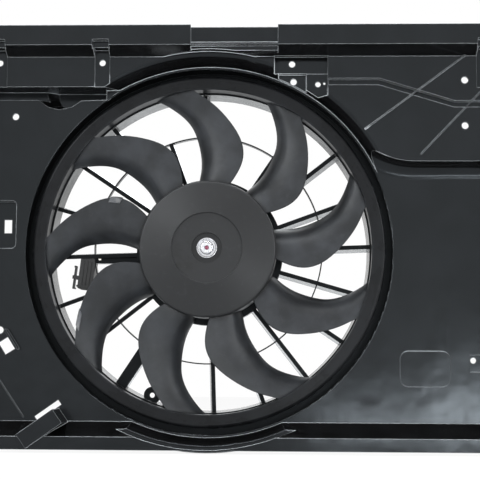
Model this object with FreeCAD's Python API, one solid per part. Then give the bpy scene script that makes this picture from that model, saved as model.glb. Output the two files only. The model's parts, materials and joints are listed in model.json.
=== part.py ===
import FreeCAD, Part
import os
from math import acos, asin, atan2, cos, hypot, pi, radians, sin, sqrt, tan

# Radiator fan module: a moulded shroud pan with a ringed nine-blade fan, its
# motor held by a guard of struts, and a plug-in connector on a short arm.
# Millimetres. X runs to the right and Z up as the radiator side is looked at,
# Y runs from the radiator side to the rear. The front flange lies on Y = 0.

# Fan axis and the round recess about it
WALL = 2.5
FAN_X = -35.0
FAN_Z = -11.0
RING_RADIUS = 180.0
RING_LIP_RADIUS = RING_RADIUS + 15.0
BARREL_RADIUS = RING_RADIUS - 1.5
RECESS_RADIUS = RING_LIP_RADIUS + 7.2
LEDGE_RADIUS = RECESS_RADIUS + 2.6
SHOULDER_RADIUS = LEDGE_RADIUS + 8.2
MOUTH_RADIUS = SHOULDER_RADIUS + 3.2
SHOULDER_ROUND = 5.0
LEDGE_ROUND = 1.5
RECESS_DEPTH = 64.0
BARREL_ROUND = 1.5
BARREL_DRAFT = 0.08
BARREL_END = 90.0

# Shroud pan, outside the fan opening
FLANGE_HALF_WIDTH = 312.0
FLANGE_TOP = FAN_Z + MOUTH_RADIUS + 26.8
FLANGE_BOTTOM = FAN_Z - MOUTH_RADIUS - 0.8
FLANGE_CORNER = 14.0
PAN_HALF_WIDTH = 291.0
PAN_TOP = FLANGE_TOP - 22.0
PAN_BOTTOM = FLANGE_BOTTOM + 14.0
PAN_CORNER = 12.0
TOP_DRAFT = 0.45
BOTTOM_DRAFT = 0.38
SIDE_DRAFT = 0.30
STRIP_DEPTH = 20.0
PLATE_DEPTH = 40.0
BEYOND = 420.0
LAP = 1.0

# Step between the shallow upper strip and the deep plate
STEP_LEFT_Z = 167.5
STEP_RIGHT_Z = 84.6
STEP_SWEEP_RADIUS = 82.0
COVE_RADIUS = 18.5

# Flange section that is set back above the fan
SETBACK_LEFT = -53.5
SETBACK_RIGHT = 41.5
SETBACK_DEPTH = 3.0
SETBACK_DROP = 2.3
SETBACK_FOOT_Z = FLANGE_TOP - 28.4

# Swaged grooves and the wire trench
GROOVE_WIDTH = 7.0
GROOVE_DEPTH = 7.0
GROOVE_PATH = ((97.0, 172.8), (152.0, 172.8), (233.5, 147.8), (280.0, 147.8))
TRENCH_FOOT_Z = 156.8
TRENCH_DEPTH = 10.0
SCOOP_DEPTH = 20.0
SCOOP_RIM = ((-232.0, 167.5), (-227.0, 156.4), (-215.0, 148.2), (-203.0, 145.6),
             (-189.0, 148.8), (-178.0, 156.0), (-150.0, 156.8), (-150.0, 167.5))
SCOOP_FLOOR = ((-206.0, 167.5), (-206.0, 160.0), (-203.0, 154.0), (-198.0, 151.5),
               (-189.0, 152.0), (-180.0, 158.5), (-150.0, 159.5), (-150.0, 167.5))

# Upright pads with a hole each, under notches in the top flange
TAB_XS = (-266.5, -152.5, 266.5)
TAB_WIDTH = 16.4
TAB_SINK = 1.5
TAB_TOP_Z = 208.5
TAB_HOLE_Z = 194.5
TAB_HOLE_RADIUS = 3.4
NOTCH_WIDTH = 18.0
NOTCH_TOP_Z = 216.0
NOTCH_DEPTH = 8.0

# Stepped bracket pads beside the fan: left, right, foot, top, depth
BRACKET_PADS = ((37.5, 96.0, 184.0, 203.0, 32.0), (42.0, 72.5, 150.0, 184.0, 38.0),
                (72.5, 96.0, 157.8, 184.0, 34.0))
BRACKET_HOLES = ((56.8, 194.9, 3.5), (58.5, 176.2, 3.4), (85.5, 172.6, 2.9), (92.5, 173.6, 1.3))

# Holes for clips and ducts: x, z, radius
DUCT_HOLE_X = 245.2
DUCT_HOLE_ZS = (174.1, 123.7)
DUCT_HOLE_RADIUS = 3.7
LINE_HOLE = (-251.5, 137.9, 3.65)

# Clip pocket at the left, with a slot through its floor
POCKET_X = -265.0
POCKET_Z = 17.0
POCKET_WIDTH = 33.0
POCKET_HEIGHT = 53.0
POCKET_DEPTH = 12.0
POCKET_CORNER = 5.0
POCKET_SLOT = (-259.7, 15.8, 8.6, 14.8)

# Tilted window with a wall beside it and a round hole
WINDOW_CENTRE = (-255.0, -116.8)
WINDOW_SIZE = (15.0, 14.0)
WINDOW_TURN = -57.6
WINDOW_WALL_HEIGHT = 12.0
WINDOW_HOLE = (-263.5, -100.1, 3.9)

# Hook over the bottom flange, with the slot above it
HOOK_ORIGIN = (-219.9, -199.0)
HOOK_TURN = 35.2
HOOK_SLOT_LENGTH = 31.5
HOOK_SLOT_WIDTH = 6.0
HOOK_ALONG = (-20.0, 27.0)
HOOK_ACROSS = (-2.0, -20.0)
HOOK_FRONT = -2.5
HOOK_WALL = 2.2

# Small recess with a hole at the right, and a faint raised field
SIDE_RECESS = (250.0, 278.0, -143.0, -124.8)
SIDE_RECESS_DEPTH = 8.0
SIDE_RECESS_HOLE = (254.6, -130.7, 3.2)
FIELD = (174.6, 228.8, -159.4, -120.8)
FIELD_CORNER = 9.0
FIELD_RISE = 0.8

# Fine ribs on the plates: x, z, x, z, depth of the plate
FINE_RIBS = ((136.5, 119.9, 246.0, 201.6, STRIP_DEPTH), (197.1, 92.3, 283.0, 183.0, STRIP_DEPTH),
             (-276.0, -135.6, -235.5, -194.8, PLATE_DEPTH))
FINE_RIB_WIDTH = 1.4
FINE_RIB_HEIGHT = 1.2

# Gussets behind the recess
GUSSET_PITCH = 22.5
GUSSET_ANGLES = (-56.0, 56.0)
GUSSET_THICK = 2.2
GUSSET_REACH = 26.0

# Side lugs with steel sleeves
LUG_PITCH_X = 646.0
LUG_PITCH_Z = 300.0
LUG_HEIGHT = 30.0
LUG_END_RADIUS = 11.0
LUG_THICK = 8.0
SLEEVE_RADIUS = 5.0
SLEEVE_BORE = 3.3
SEAT_FIT = 0.02

# Guard: struts, rings and motor seat
GUARD_FRONT = 69.0
GUARD_DEPTH = 18.0
GUARD_CLEARANCE = 0.05
STRUT_PITCH = 18.0
STRUT_START = 2.1
STRUT_THICK = 4.6
STRUT_LEAN = 2.4
FULL_STRUTS = (1, 3, 5, 8, 10, 12, 15, 17, 19)
OUTER_STRUTS = (0, 2, 7, 9, 11, 14, 16, 18)
INNER_STRUTS = (6,)
CHANNEL_ANGLE = 236.7
CHANNEL_WIDTH = 13.0
MID_RING_RADIUS = 127.6
MID_RING_SHIFT = (-1.7, 3.0)
MID_RING_THICK = 1.4
MID_RING_DEPTH = 8.0
SEAT_OUTER_RADIUS = 82.0
SEAT_THICK = 6.0
EAR_ANGLE = 248.5
EAR_RADIUS = 7.0
EAR_HOLE_RADIUS = 2.8

# Fan: hub, blades and ring
BLADE_COUNT = 9
HUB_RADIUS = 75.2
HUB_REAR = 62.5
HUB_WALL = 2.8
HUB_RIM_FRONT = 26.6
HUB_RIM_ROUND = 4.0
HUB_LIP_FRONT = 13.0
HUB_LIP_ROUND = 0.8
HUB_DISC_RADIUS = 38.5
HUB_DISC_FRONT = 14.6
HUB_WELL_RADIUS = 16.5
HUB_WELL_FLOOR = 18.0
HUB_WEB = 3.2
HUB_BOSS_RADIUS = 14.0
HUB_BOSS_REAR = 27.5
HUB_RIB_COUNT = 9
HUB_RIB_REAR = 33.0
HUB_RIB_STEP = (20.0, 26.0)
RING_WALL = 2.5
RING_FRONT = 42.0
RING_REAR = 61.5
RING_ROUND = 1.5
RING_LIP_ROUND = 3.5
RING_LIP_REAR = 51.0
# Blade stations: share of the way from hub to ring, leading and trailing angle, leading edge depth,
# depth of chord, camber
BLADE_STATIONS = (
    (0.00, 32.4, 58.5, 31.5, 29.0, 7.5),
    (0.13, 29.6, 56.3, 30.5, 31.0, 8.5),
    (0.30, 29.3, 55.1, 31.0, 32.0, 8.0),
    (0.46, 32.9, 56.0, 32.5, 31.0, 7.0),
    (0.63, 39.9, 58.2, 36.0, 27.5, 5.5),
    (0.78, 46.5, 62.2, 40.0, 23.5, 4.2),
    (0.90, 52.1, 66.3, 42.3, 19.5, 3.2),
    (1.00, 56.0, 70.7, 43.5, 17.0, 2.4))
BLADE_THICK = 3.2
BLADE_EDGE = 1.5
BLADE_CREST = 0.6
BLADE_ROOT = 1.2
BLADE_TIP = 2.2

# Shaft line
SHAFT_RADIUS = 5.0
SHAFT_FRONT = 18.4
SHAFT_REAR = 113.0
SHAFT_TAP_RADIUS = 3.0
SHAFT_TAP_DEPTH = 18.0
INSERT_RADIUS = 9.0
WASHER_RADIUS = 11.3
WASHER_THICK = 1.6
SCREW_HEAD_RADIUS = 7.4
SCREW_HEAD_HEIGHT = 4.2
SCREW_HEAD_ROUND = 2.8
SCREW_SHANK_RADIUS = 2.95
SCREW_LENGTH = 16.0
SOCKET_FLATS = 5.0
SOCKET_DEPTH = 2.6

# Motor
CAN_RADIUS = SEAT_OUTER_RADIUS - 26.0
CAN_WALL = 2.5
CAN_FRONT = 36.0
CAN_REAR = 96.0
CAN_FLANGE_RADIUS = SEAT_OUTER_RADIUS - 8.0
CAN_FLANGE_THICK = 2.5
SEAT_INNER_RADIUS = CAN_RADIUS + 2.0
BEARING_OUTER_RADIUS = 13.0
BEARING_WIDTH = 8.0
BEARING_GAP = 0.6
RACE_THICK = 2.2
RACE_RELIEF = 0.8
BALL_RADIUS = 2.38
BALL_COUNT = 7
BALL_BANDS = 6
BALL_PLAY = 0.02
CAGE_THICK = 0.8
CAGE_HALF_WIDTH = 3.2
BUSH_FIT = 0.03
POCKET_WALL = 2.5
MAGNET_COUNT = 4
MAGNET_THICK = 8.0
MAGNET_SPAN = 74.0
MAGNET_FRONT = 46.0
MAGNET_REAR = 88.0
MAGNET_GAP = 0.05
AIR_GAP = 0.8
CORE_FRONT = 51.0
CORE_REAR = 81.0
SLOT_COUNT = 12
SLOT_WIDTH = 16.0
SLOT_FOOT_WIDTH = 5.0
SLOT_LINER = 0.3
SLOT_DEPTH = 18.0
SLOT_MOUTH = 3.0
TOOTH_TIP = 2.0
WINDING_OVERHANG = 7.0
COMMUTATOR_RADIUS = 13.0
COMMUTATOR_FRONT = 89.0
COMMUTATOR_REAR = 105.0
COMMUTATOR_BARS = 12
CAP_DEPTH = 12.0
CAP_RIM = 6.0
BRUSH_CARD_THICK = 2.5
BRUSH_SIZE = (14.0, 8.0, 6.0)
BRUSH_PLAY = 0.15
HOLDER_WALL = 1.2
SPRING_WIDTH = 4.0
SPRING_SWING = 2.6
SPRING_LEAF = 0.4
SPRING_FOLDS = 6
SPRING_GAP = 0.1
SPRING_ROOM = 9.0
CHOKE_RADIUS = 3.2
CHOKE_LENGTH = 13.0
CHOKE_PLACE = CAN_RADIUS - 22.0
MOTOR_SCREW_COUNT = 3
MOTOR_SCREW_CIRCLE = CAN_FLANGE_RADIUS - 5.0
MOTOR_SCREW_START = 90.0
MOTOR_SCREW_RADIUS = 2.4
MOTOR_SCREW_HEAD = 4.5
MOTOR_SCREW_LENGTH = 9.0
PAD_RADIUS = 5.0
PAD_THICK = 1.5
CIRCLIP_THICK = 1.0
CIRCLIP_WIDTH = 2.2
CIRCLIP_GAP = 0.3
MAGNET_SPRING_THICK = 0.5

# Connector on its arm
ARM_Z = -18.5
ARM_HEIGHT = 10.0
ARM_FRONT = 73.0
ARM_DEPTH = 11.0
ARM_WALL = 1.6
PLUG_CENTRE = (FAN_X - BARREL_RADIUS + 40.0, -34.5)
ARM_LEFT = PLUG_CENTRE[0] + 3.5
ARM_HOLE = (ARM_LEFT + 10.8, -18.5, 1.6)
PLUG_TURN = -7.0
PLUG_WIDTH = 17.0
PLUG_DEPTH = 20.0
PLUG_LENGTH = 37.0
PLUG_FRONT = 70.0
PLUG_CORNER = 2.5
PLUG_WALL = 1.8
PLUG_HEADER = 12.0
PLUG_GAP = 0.05
PLUG_RIBS = (-4.0, 0.0, 4.0)
PLUG_RIB_STOP = 5.5
TERMINAL_THICK = 0.8
TERMINAL_WIDTH = 6.3
TERMINAL_SPACING = 9.0
TERMINAL_REACH = 20.0
STRIP_SPACING = 2.4
STRIP_FRONT = 78.0
STRIP_WIDTH = 4.0
STRIP_TURN_X = FAN_X - CAN_RADIUS - 6.0
STRIP_END_X = FAN_X - CAN_RADIUS + 7.0
STRIP_END_Y = 97.0
LEVER_GAP = 4.4
LEVER_THICK = 1.8
LEVER_WIDTH = 9.0
LEVER_TOP = 7.0
LEVER_FOOT = -19.0
LEVER_NECK_Y = -6.0
LEVER_EAR = 2.0
LEVER_EAR_REACH = 4.0
LEVER_PLAY = 0.3
LEVER_PIN_RADIUS = 1.2
LEVER_PIN_FIT = 0.05

# Balance clips on the leading edge of two blades: blade number, radius
BALANCE_CLIPS = ((3, 115.8), (4, 161.8))
CLIP_LENGTH = 12.0
CLIP_REACH = 5.0
CLIP_THICK = 0.8
CLIP_GAP = 0.05


def vec(x, y, z):
    return FreeCAD.Vector(x, y, z)


AXIS = vec(0, 1, 0)
FAN_ORIGIN = vec(FAN_X, 0, FAN_Z)


def rounded(points, bend_radii):
    """Closed wire through points, each corner rounded by its radius, or sharp where that is None."""
    bends = []
    for i, (here, radius) in enumerate(zip(points, bend_radii)):
        if not radius:
            bends.append((here, here, None))
            continue
        back = (points[i - 1] - here).normalize()
        ahead = (points[(i + 1) % len(points)] - here).normalize()
        half = acos(back.dot(ahead)) / 2
        reach = radius / tan(half)
        inward = (back + ahead).normalize()
        crown = here + inward * (radius / sin(half) - radius)
        bends.append((here + back * reach, here + ahead * reach, crown))
    edges = []
    for i, (start, end, crown) in enumerate(bends):
        if crown:
            edges.append(Part.Arc(start, crown, end).toShape())
        following = bends[(i + 1) % len(bends)][0]
        if (following - end).Length > 1e-6:
            edges.append(Part.LineSegment(end, following).toShape())
    return Part.Wire(edges)


def bend_of(corner):
    return corner[2] if len(corner) > 2 else None


def outline(corners, y):
    """Closed wire at depth y through (x, z) corners; a third value rounds that corner."""
    return rounded([vec(c[0], y, c[1]) for c in corners], [bend_of(c) for c in corners])


def prism(corners, y0, y1):
    return Part.Face(outline(corners, y0)).extrude(vec(0, y1 - y0, 0))


def taper(front, rear, y0, y1):
    """Straight-sided solid between two outlines of equal corner count."""
    return Part.makeLoft([outline(front, y0), outline(rear, y1)], True, True)


def block(x0, x1, y0, y1, z0, z1):
    return Part.makeBox(x1 - x0, y1 - y0, z1 - z0, vec(x0, y0, z0))


def drill(x, z, radius, y0, y1):
    return Part.makeCylinder(radius, y1 - y0, vec(x, y0, z), AXIS)


def disc(outer, y0, y1, inner=0.0):
    """Disc or washer about the fan axis."""
    body = Part.makeCylinder(outer, y1 - y0, vec(FAN_X, y0, FAN_Z), AXIS)
    if inner > 0:
        body = body.cut(Part.makeCylinder(inner, y1 - y0, vec(FAN_X, y0, FAN_Z), AXIS))
    return body


def turned(profile):
    """Solid of revolution about the fan axis from (radius, depth) corners; a third value rounds a corner."""
    wire = rounded([vec(FAN_X + c[0], c[1], FAN_Z) for c in profile], [bend_of(c) for c in profile])
    return Part.Face(wire).revolve(FAN_ORIGIN, AXIS, 360)


def about_fan(shape, angle):
    """Copy turned anticlockwise about the fan axis, as seen from the radiator side."""
    copy = shape.copy()
    copy.rotate(FAN_ORIGIN, AXIS, -angle)
    return copy


def ring_of(shape, count, start=0.0):
    return [about_fan(shape, start + 360.0 * i / count) for i in range(count)]


def join(shapes):
    return shapes[0].multiFuse(shapes[1:]).removeSplitter()


def grown(corners, amount):
    """Anticlockwise or clockwise corner list moved outward by amount, with mitred corners."""
    count = len(corners)
    area = sum(corners[i - 1][0] * corners[i][1] - corners[i][0] * corners[i - 1][1] for i in range(count))
    side = 1 if area > 0 else -1
    moved = []
    for i in range(count):
        (xa, za), (x, z), (xb, zb) = corners[i - 1][:2], corners[i][:2], corners[(i + 1) % count][:2]
        la, lb = hypot(x - xa, z - za), hypot(xb - x, zb - z)
        na = (side * (z - za) / la, -side * (x - xa) / la)
        nb = (side * (zb - z) / lb, -side * (xb - x) / lb)
        scale = amount / (1 + na[0] * nb[0] + na[1] * nb[1])
        moved.append((x + (na[0] + nb[0]) * scale, z + (na[1] + nb[1]) * scale))
    return moved


def ribbon(path, width):
    """Corner list of a band of even width along an open path."""
    sides = ([], [])
    for i, (x, z) in enumerate(path):
        xa, za = path[max(i - 1, 0)]
        xb, zb = path[min(i + 1, len(path) - 1)]
        before = atan2(z - za, x - xa) if i > 0 else atan2(zb - z, xb - x)
        after = atan2(zb - z, xb - x) if i < len(path) - 1 else before
        middle = (before + after) / 2
        reach = width / 2 / cos((after - before) / 2)
        sides[0].append((x - sin(middle) * reach, z + cos(middle) * reach))
        sides[1].append((x + sin(middle) * reach, z - cos(middle) * reach))
    return sides[0] + sides[1][::-1]


def rectangle(x0, x1, z0, z1, corner=0.0):
    points = ((x0, z0), (x1, z0), (x1, z1), (x0, z1))
    return [(x, z, corner) for x, z in points] if corner > 0 else list(points)


def tilted(origin, turn, u0, u1, v0, v1):
    """Corners of a rectangle in axes turned anticlockwise from X and Z."""
    c, s = cos(radians(turn)), sin(radians(turn))
    return [(origin[0] + u * c - v * s, origin[1] + u * s + v * c)
            for u, v in ((u0, v0), (u1, v0), (u1, v1), (u0, v1))]


def pan_rim(y, grow):
    """Rounded rectangle of the pan's drafted walls at depth y."""
    return rectangle(-PAN_HALF_WIDTH + SIDE_DRAFT * y - grow, PAN_HALF_WIDTH - SIDE_DRAFT * y + grow,
                     PAN_BOTTOM + BOTTOM_DRAFT * y - grow, PAN_TOP - TOP_DRAFT * y + grow,
                     PAN_CORNER + grow)


def pan_body(depth, grow):
    return taper(pan_rim(0, grow), pan_rim(depth + grow, grow), 0, depth + grow)


def deep_zone(grow):
    """Zone of the deep plate, bounded by the stepped edge, with a coved foot at the right."""
    y0, y1 = STRIP_DEPTH - LAP, PLATE_DEPTH + grow
    circle = LEDGE_RADIUS + grow
    left_z = STEP_LEFT_Z + grow
    right_z = STEP_RIGHT_Z + grow
    left_x = FAN_X - sqrt(circle ** 2 - (left_z - FAN_Z) ** 2)
    span = LEDGE_RADIUS + STEP_SWEEP_RADIUS
    rise = STEP_RIGHT_Z - FAN_Z + STEP_SWEEP_RADIUS
    angle = asin(rise / span)
    centre_x = FAN_X + span * cos(angle)
    centre_z = FAN_Z + rise
    sweep = STEP_SWEEP_RADIUS - grow
    leave = vec(FAN_X + circle * cos(angle), y0, FAN_Z + circle * sin(angle))
    half = (angle + pi / 2) / 2
    bend = vec(centre_x - sweep * cos(half), y0, centre_z - sweep * sin(half))
    land = vec(centre_x, y0, right_z)
    corners = [vec(BEYOND, y0, right_z), vec(BEYOND, y0, -BEYOND), vec(-BEYOND, y0, -BEYOND),
               vec(-BEYOND, y0, left_z), vec(left_x, y0, left_z)]
    edges = [Part.Arc(corners[-1], vec(FAN_X, y0, FAN_Z + circle), leave).toShape(),
             Part.Arc(leave, bend, land).toShape(),
             Part.LineSegment(land, corners[0]).toShape()]
    edges += [Part.LineSegment(a, b).toShape() for a, b in zip(corners, corners[1:])]
    zone = Part.Face(Part.Wire(Part.__sortEdges__(edges))).extrude(vec(0, y1 - y0, 0))
    foot = [e for e in zone.Edges if abs(e.CenterOfMass.y - y1) < 0.01
            and e.CenterOfMass.x > leave.x and e.CenterOfMass.z > FAN_Z and e.BoundBox.ZLength < BEYOND / 2]
    return zone.makeFillet(COVE_RADIUS + grow, foot)


def fan_recess(grow):
    """Round recess and outlet barrel, from the mouth at the flange to the rear."""
    g = grow

    def eased(radius, depth, bend):
        return (radius + g, depth + g, bend - g) if bend > g else (radius + g, depth + g)

    end = BARREL_END if grow > 0 else BARREL_END + 2 * LAP
    start = 0.0 if grow > 0 else -LAP
    barrel_out = BARREL_RADIUS - BARREL_DRAFT * (end - RECESS_DEPTH) + g
    return turned([(0, start), (MOUTH_RADIUS + g, start),
                   (SHOULDER_RADIUS + SHOULDER_ROUND + g, STRIP_DEPTH + g),
                   eased(SHOULDER_RADIUS, STRIP_DEPTH, SHOULDER_ROUND), (LEDGE_RADIUS + g, PLATE_DEPTH + g),
                   eased(RECESS_RADIUS, PLATE_DEPTH, LEDGE_ROUND), (RECESS_RADIUS + g, RECESS_DEPTH + g),
                   eased(BARREL_RADIUS, RECESS_DEPTH, BARREL_ROUND), (barrel_out, end), (0, end)])


def barrel_zone():
    """All of the room behind the recess floor, which belongs to the outlet barrel."""
    return disc(RECESS_RADIUS + 2 * WALL, RECESS_DEPTH, BARREL_END + 2 * LAP)


def scoop(grow):
    rim, floor = list(SCOOP_RIM), list(SCOOP_FLOOR)
    if grow > 0:
        rim, floor = grown(rim, grow), grown(floor, grow)
    return taper(rim, floor, PLATE_DEPTH - LAP, PLATE_DEPTH + SCOOP_DEPTH + grow)


def sunk_features(grow):
    """Every pocket that is pressed into the plates, or its outer skin."""
    g = grow
    groove = ribbon(GROOVE_PATH, GROOVE_WIDTH + 2 * g)
    shapes = [prism(groove, STRIP_DEPTH - LAP, STRIP_DEPTH + GROOVE_DEPTH + g)]
    trench_left = -PAN_HALF_WIDTH + SIDE_DRAFT * PLATE_DEPTH - g
    shapes.append(block(trench_left, SCOOP_RIM[2][0], PLATE_DEPTH - LAP, PLATE_DEPTH + TRENCH_DEPTH + g,
                        TRENCH_FOOT_Z - g, STEP_LEFT_Z + g))
    shapes.append(scoop(grow))
    for x in TAB_XS:
        shapes.append(block(x - TAB_WIDTH / 2 - g, x + TAB_WIDTH / 2 + g, 0, STRIP_DEPTH + TAB_SINK + g,
                            STEP_LEFT_Z - 1.5 - g, TAB_TOP_Z + g))
        shapes.append(block(x - NOTCH_WIDTH / 2 - g, x + NOTCH_WIDTH / 2 + g, -LAP if g == 0 else 0,
                            NOTCH_DEPTH + g, TAB_TOP_Z - LAP, NOTCH_TOP_Z + g))
    for x0, x1, z0, z1, depth in BRACKET_PADS:
        shapes.append(block(x0 - g, x1 + g, STRIP_DEPTH - LAP, depth + g, z0 - g, z1 + g))
    half_w, half_h = POCKET_WIDTH / 2, POCKET_HEIGHT / 2
    pocket = rectangle(POCKET_X - half_w - g, POCKET_X + half_w + g, POCKET_Z - half_h - g,
                       POCKET_Z + half_h + g, POCKET_CORNER + g)
    shapes.append(prism(pocket, PLATE_DEPTH - LAP, PLATE_DEPTH + POCKET_DEPTH + g))
    x0, x1, z0, z1 = SIDE_RECESS
    shapes.append(block(x0 - g, x1 + g, PLATE_DEPTH - LAP, PLATE_DEPTH + SIDE_RECESS_DEPTH + g, z0 - g, z1 + g))
    return shapes


def lug_centres():
    return [(sx * LUG_PITCH_X / 2, sz * LUG_PITCH_Z / 2) for sx in (-1, 1) for sz in (-1, 1)]


def side_lug(x, z):
    """Ear on the side flange that takes a sleeve."""
    inner = (FLANGE_HALF_WIDTH - WALL) * (1 if x > 0 else -1)
    outer = x + LUG_END_RADIUS * (1 if x > 0 else -1)
    left, right = min(inner, outer), max(inner, outer)
    far = {left, right} - {inner}
    corners = [(cx, cz, LUG_END_RADIUS - LAP) if cx in far else (cx, cz)
               for cx, cz in rectangle(left, right, z - LUG_HEIGHT / 2, z + LUG_HEIGHT / 2)]
    return prism(corners, 0, LUG_THICK)


def flange():
    rim = rectangle(-FLANGE_HALF_WIDTH, FLANGE_HALF_WIDTH, FLANGE_BOTTOM, FLANGE_TOP, FLANGE_CORNER)
    plate = prism(rim, 0, WALL)
    setback = block(SETBACK_LEFT, SETBACK_RIGHT, -LAP, SETBACK_DEPTH, SETBACK_FOOT_Z, FLANGE_TOP + LAP)
    above = block(SETBACK_LEFT, SETBACK_RIGHT, -LAP, STRIP_DEPTH, FLANGE_TOP - SETBACK_DROP, FLANGE_TOP + LAP)
    step = block(SETBACK_LEFT - WALL, SETBACK_RIGHT + WALL, 0, SETBACK_DEPTH + WALL,
                 SETBACK_FOOT_Z, FLANGE_TOP - SETBACK_DROP)
    return plate.fuse(step).cut(setback).cut(above)


def clip_window():
    """Tilted through window and its round hole."""
    w, h = WINDOW_SIZE
    opening = tilted(WINDOW_CENTRE, WINDOW_TURN, -w / 2, w / 2, -h / 2, h / 2)
    cuts = [prism(opening, PLATE_DEPTH - LAP, PLATE_DEPTH + WALL + LAP)]
    cuts.append(drill(*WINDOW_HOLE, PLATE_DEPTH - LAP, PLATE_DEPTH + WALL + LAP))
    wall = tilted(WINDOW_CENTRE, WINDOW_TURN, -w, w / 2 + WALL, h / 2, h / 2 + WALL)
    return prism(wall, PLATE_DEPTH - WINDOW_WALL_HEIGHT, PLATE_DEPTH), cuts


def hook():
    """Hollow hook that stands over the bottom flange, open towards its slot."""
    u0, u1 = HOOK_ALONG
    v1, v0 = HOOK_ACROSS
    shell = prism(tilted(HOOK_ORIGIN, HOOK_TURN, u0, u1, v0, v1), HOOK_FRONT, PLATE_DEPTH + WALL)
    inside = tilted(HOOK_ORIGIN, HOOK_TURN, u0 + HOOK_WALL, u1 - HOOK_WALL, v0 + HOOK_WALL, v1 + LAP)
    hollow = prism(inside, HOOK_FRONT + HOOK_WALL, PLATE_DEPTH + WALL + LAP)
    slot = tilted(HOOK_ORIGIN, HOOK_TURN, 0, HOOK_SLOT_LENGTH, 0, HOOK_SLOT_WIDTH)
    return shell, hollow, prism(slot, PLATE_DEPTH - LAP, PLATE_DEPTH + WALL + LAP)


def fine_rib(x0, z0, x1, z1, depth):
    band = ribbon(((x0, z0), (x1, z1)), FINE_RIB_WIDTH)
    return prism(band, depth - FINE_RIB_HEIGHT, depth + LAP)


def gusset():
    """Three-cornered web between the rear of the plate and the recess wall, on the +X side."""
    r0 = RECESS_RADIUS + WALL / 2
    y0 = PLATE_DEPTH + WALL / 2
    points = [vec(FAN_X + r0, y0, FAN_Z - GUSSET_THICK / 2),
              vec(FAN_X + r0 + GUSSET_REACH, y0, FAN_Z - GUSSET_THICK / 2),
              vec(FAN_X + r0, RECESS_DEPTH, FAN_Z - GUSSET_THICK / 2)]
    return Part.Face(Part.makePolygon(points + points[:1])).extrude(vec(0, 0, GUSSET_THICK))


def barrel_ear():
    """Small ear with a hole on the inside of the outlet barrel."""
    x, z = at_fan(BARREL_RADIUS - EAR_RADIUS, EAR_ANGLE)
    y0 = GUARD_FRONT + WALL
    ear = drill(x, z, EAR_RADIUS + WALL, y0, y0 + WALL).common(disc(BARREL_RADIUS + WALL / 2, y0, y0 + WALL))
    return ear, drill(x, z, EAR_HOLE_RADIUS, y0 - LAP, y0 + WALL + LAP)


def gussets():
    """Webs on both sides of the recess, none above or below where the plate ends."""
    low, high = GUSSET_ANGLES
    count = int((high - low) / GUSSET_PITCH)
    start = (low + high - count * GUSSET_PITCH) / 2
    angles = [start + i * GUSSET_PITCH for i in range(count + 1)]
    return [about_fan(gusset(), a + side) for side in (0, 180) for a in angles]


def panel_holes():
    through = (-LAP, PLATE_DEPTH + POCKET_DEPTH + 2 * WALL)
    holes = [drill(x, TAB_HOLE_Z, TAB_HOLE_RADIUS, *through) for x in TAB_XS]
    holes += [drill(DUCT_HOLE_X, z, DUCT_HOLE_RADIUS, *through) for z in DUCT_HOLE_ZS]
    holes += [drill(x, z, r, *through) for x, z, r in BRACKET_HOLES + (LINE_HOLE, SIDE_RECESS_HOLE)]
    holes += [drill(x, z, SLEEVE_RADIUS, *through) for x, z in lug_centres()]
    x, z, w, h = POCKET_SLOT
    holes.append(block(x - w / 2, x + w / 2, PLATE_DEPTH, through[1], z - h / 2, z + h / 2))
    return holes


def outlet_barrel():
    """Floor of the recess and the barrel behind it, welded on the end of the recess wall."""
    shell = fan_recess(WALL).cut(fan_recess(0)).common(barrel_zone())
    ear, ear_hole = barrel_ear()
    return shell.fuse(ear).cut(ear_hole).removeSplitter()


def shroud_panel():
    """Moulded pan: flange, drafted walls, strip and plate, and the wall of the fan recess."""
    deep_skin = deep_zone(WALL).common(pan_body(PLATE_DEPTH, WALL))
    deep_space = deep_zone(0).common(pan_body(PLATE_DEPTH, 0))
    skin = [flange(), pan_body(STRIP_DEPTH, WALL), deep_skin, fan_recess(WALL)] + sunk_features(WALL)
    skin += [side_lug(x, z) for x, z in lug_centres()]
    skin += gussets()
    space = [pan_body(STRIP_DEPTH, 0), deep_space, fan_recess(0)] + sunk_features(0)
    body = skin[0].multiFuse(skin[1:])
    hood = block(SETBACK_LEFT, SETBACK_RIGHT, SETBACK_DEPTH, STRIP_DEPTH, SETBACK_FOOT_Z, PAN_TOP)
    body = body.cut(space[0].multiFuse(space[1:]))
    hook_shell, hook_hollow, hook_slot = hook()
    wall, window = clip_window()
    field = prism(rectangle(*FIELD, FIELD_CORNER), PLATE_DEPTH - FIELD_RISE, PLATE_DEPTH + LAP)
    ribs = [fine_rib(*rib) for rib in FINE_RIBS]
    body = body.multiFuse([hood.cut(fan_recess(0)), wall, field, hook_shell] + ribs)
    for cut in [hook_hollow, hook_slot, barrel_zone()] + window + panel_holes():
        body = body.cut(cut)
    return body.removeSplitter()


def strut_angle(number):
    return STRUT_START + STRUT_PITCH * number


def strut(angle, inner, outer, width=STRUT_THICK, lean=STRUT_LEAN):
    """Slanting vane between two radii; its rear edge lies clockwise of its front edge."""
    y0, y1 = GUARD_FRONT, GUARD_FRONT + GUARD_DEPTH
    half = width / 2
    section = [vec(FAN_X + inner, y0, FAN_Z - half), vec(FAN_X + inner, y0, FAN_Z + half),
               vec(FAN_X + inner, y1, FAN_Z + half - lean), vec(FAN_X + inner, y1, FAN_Z - half - lean)]
    vane = Part.Face(Part.makePolygon(section + section[:1])).extrude(vec(outer - inner, 0, 0))
    return about_fan(vane, angle)


def motor_screw_angles():
    return [MOTOR_SCREW_START + 360.0 * i / MOTOR_SCREW_COUNT for i in range(MOTOR_SCREW_COUNT)]


def at_fan(radius, angle):
    return FAN_X + radius * cos(radians(angle)), FAN_Z + radius * sin(radians(angle))


def guard_seat_rear():
    return GUARD_FRONT + SEAT_THICK


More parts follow.
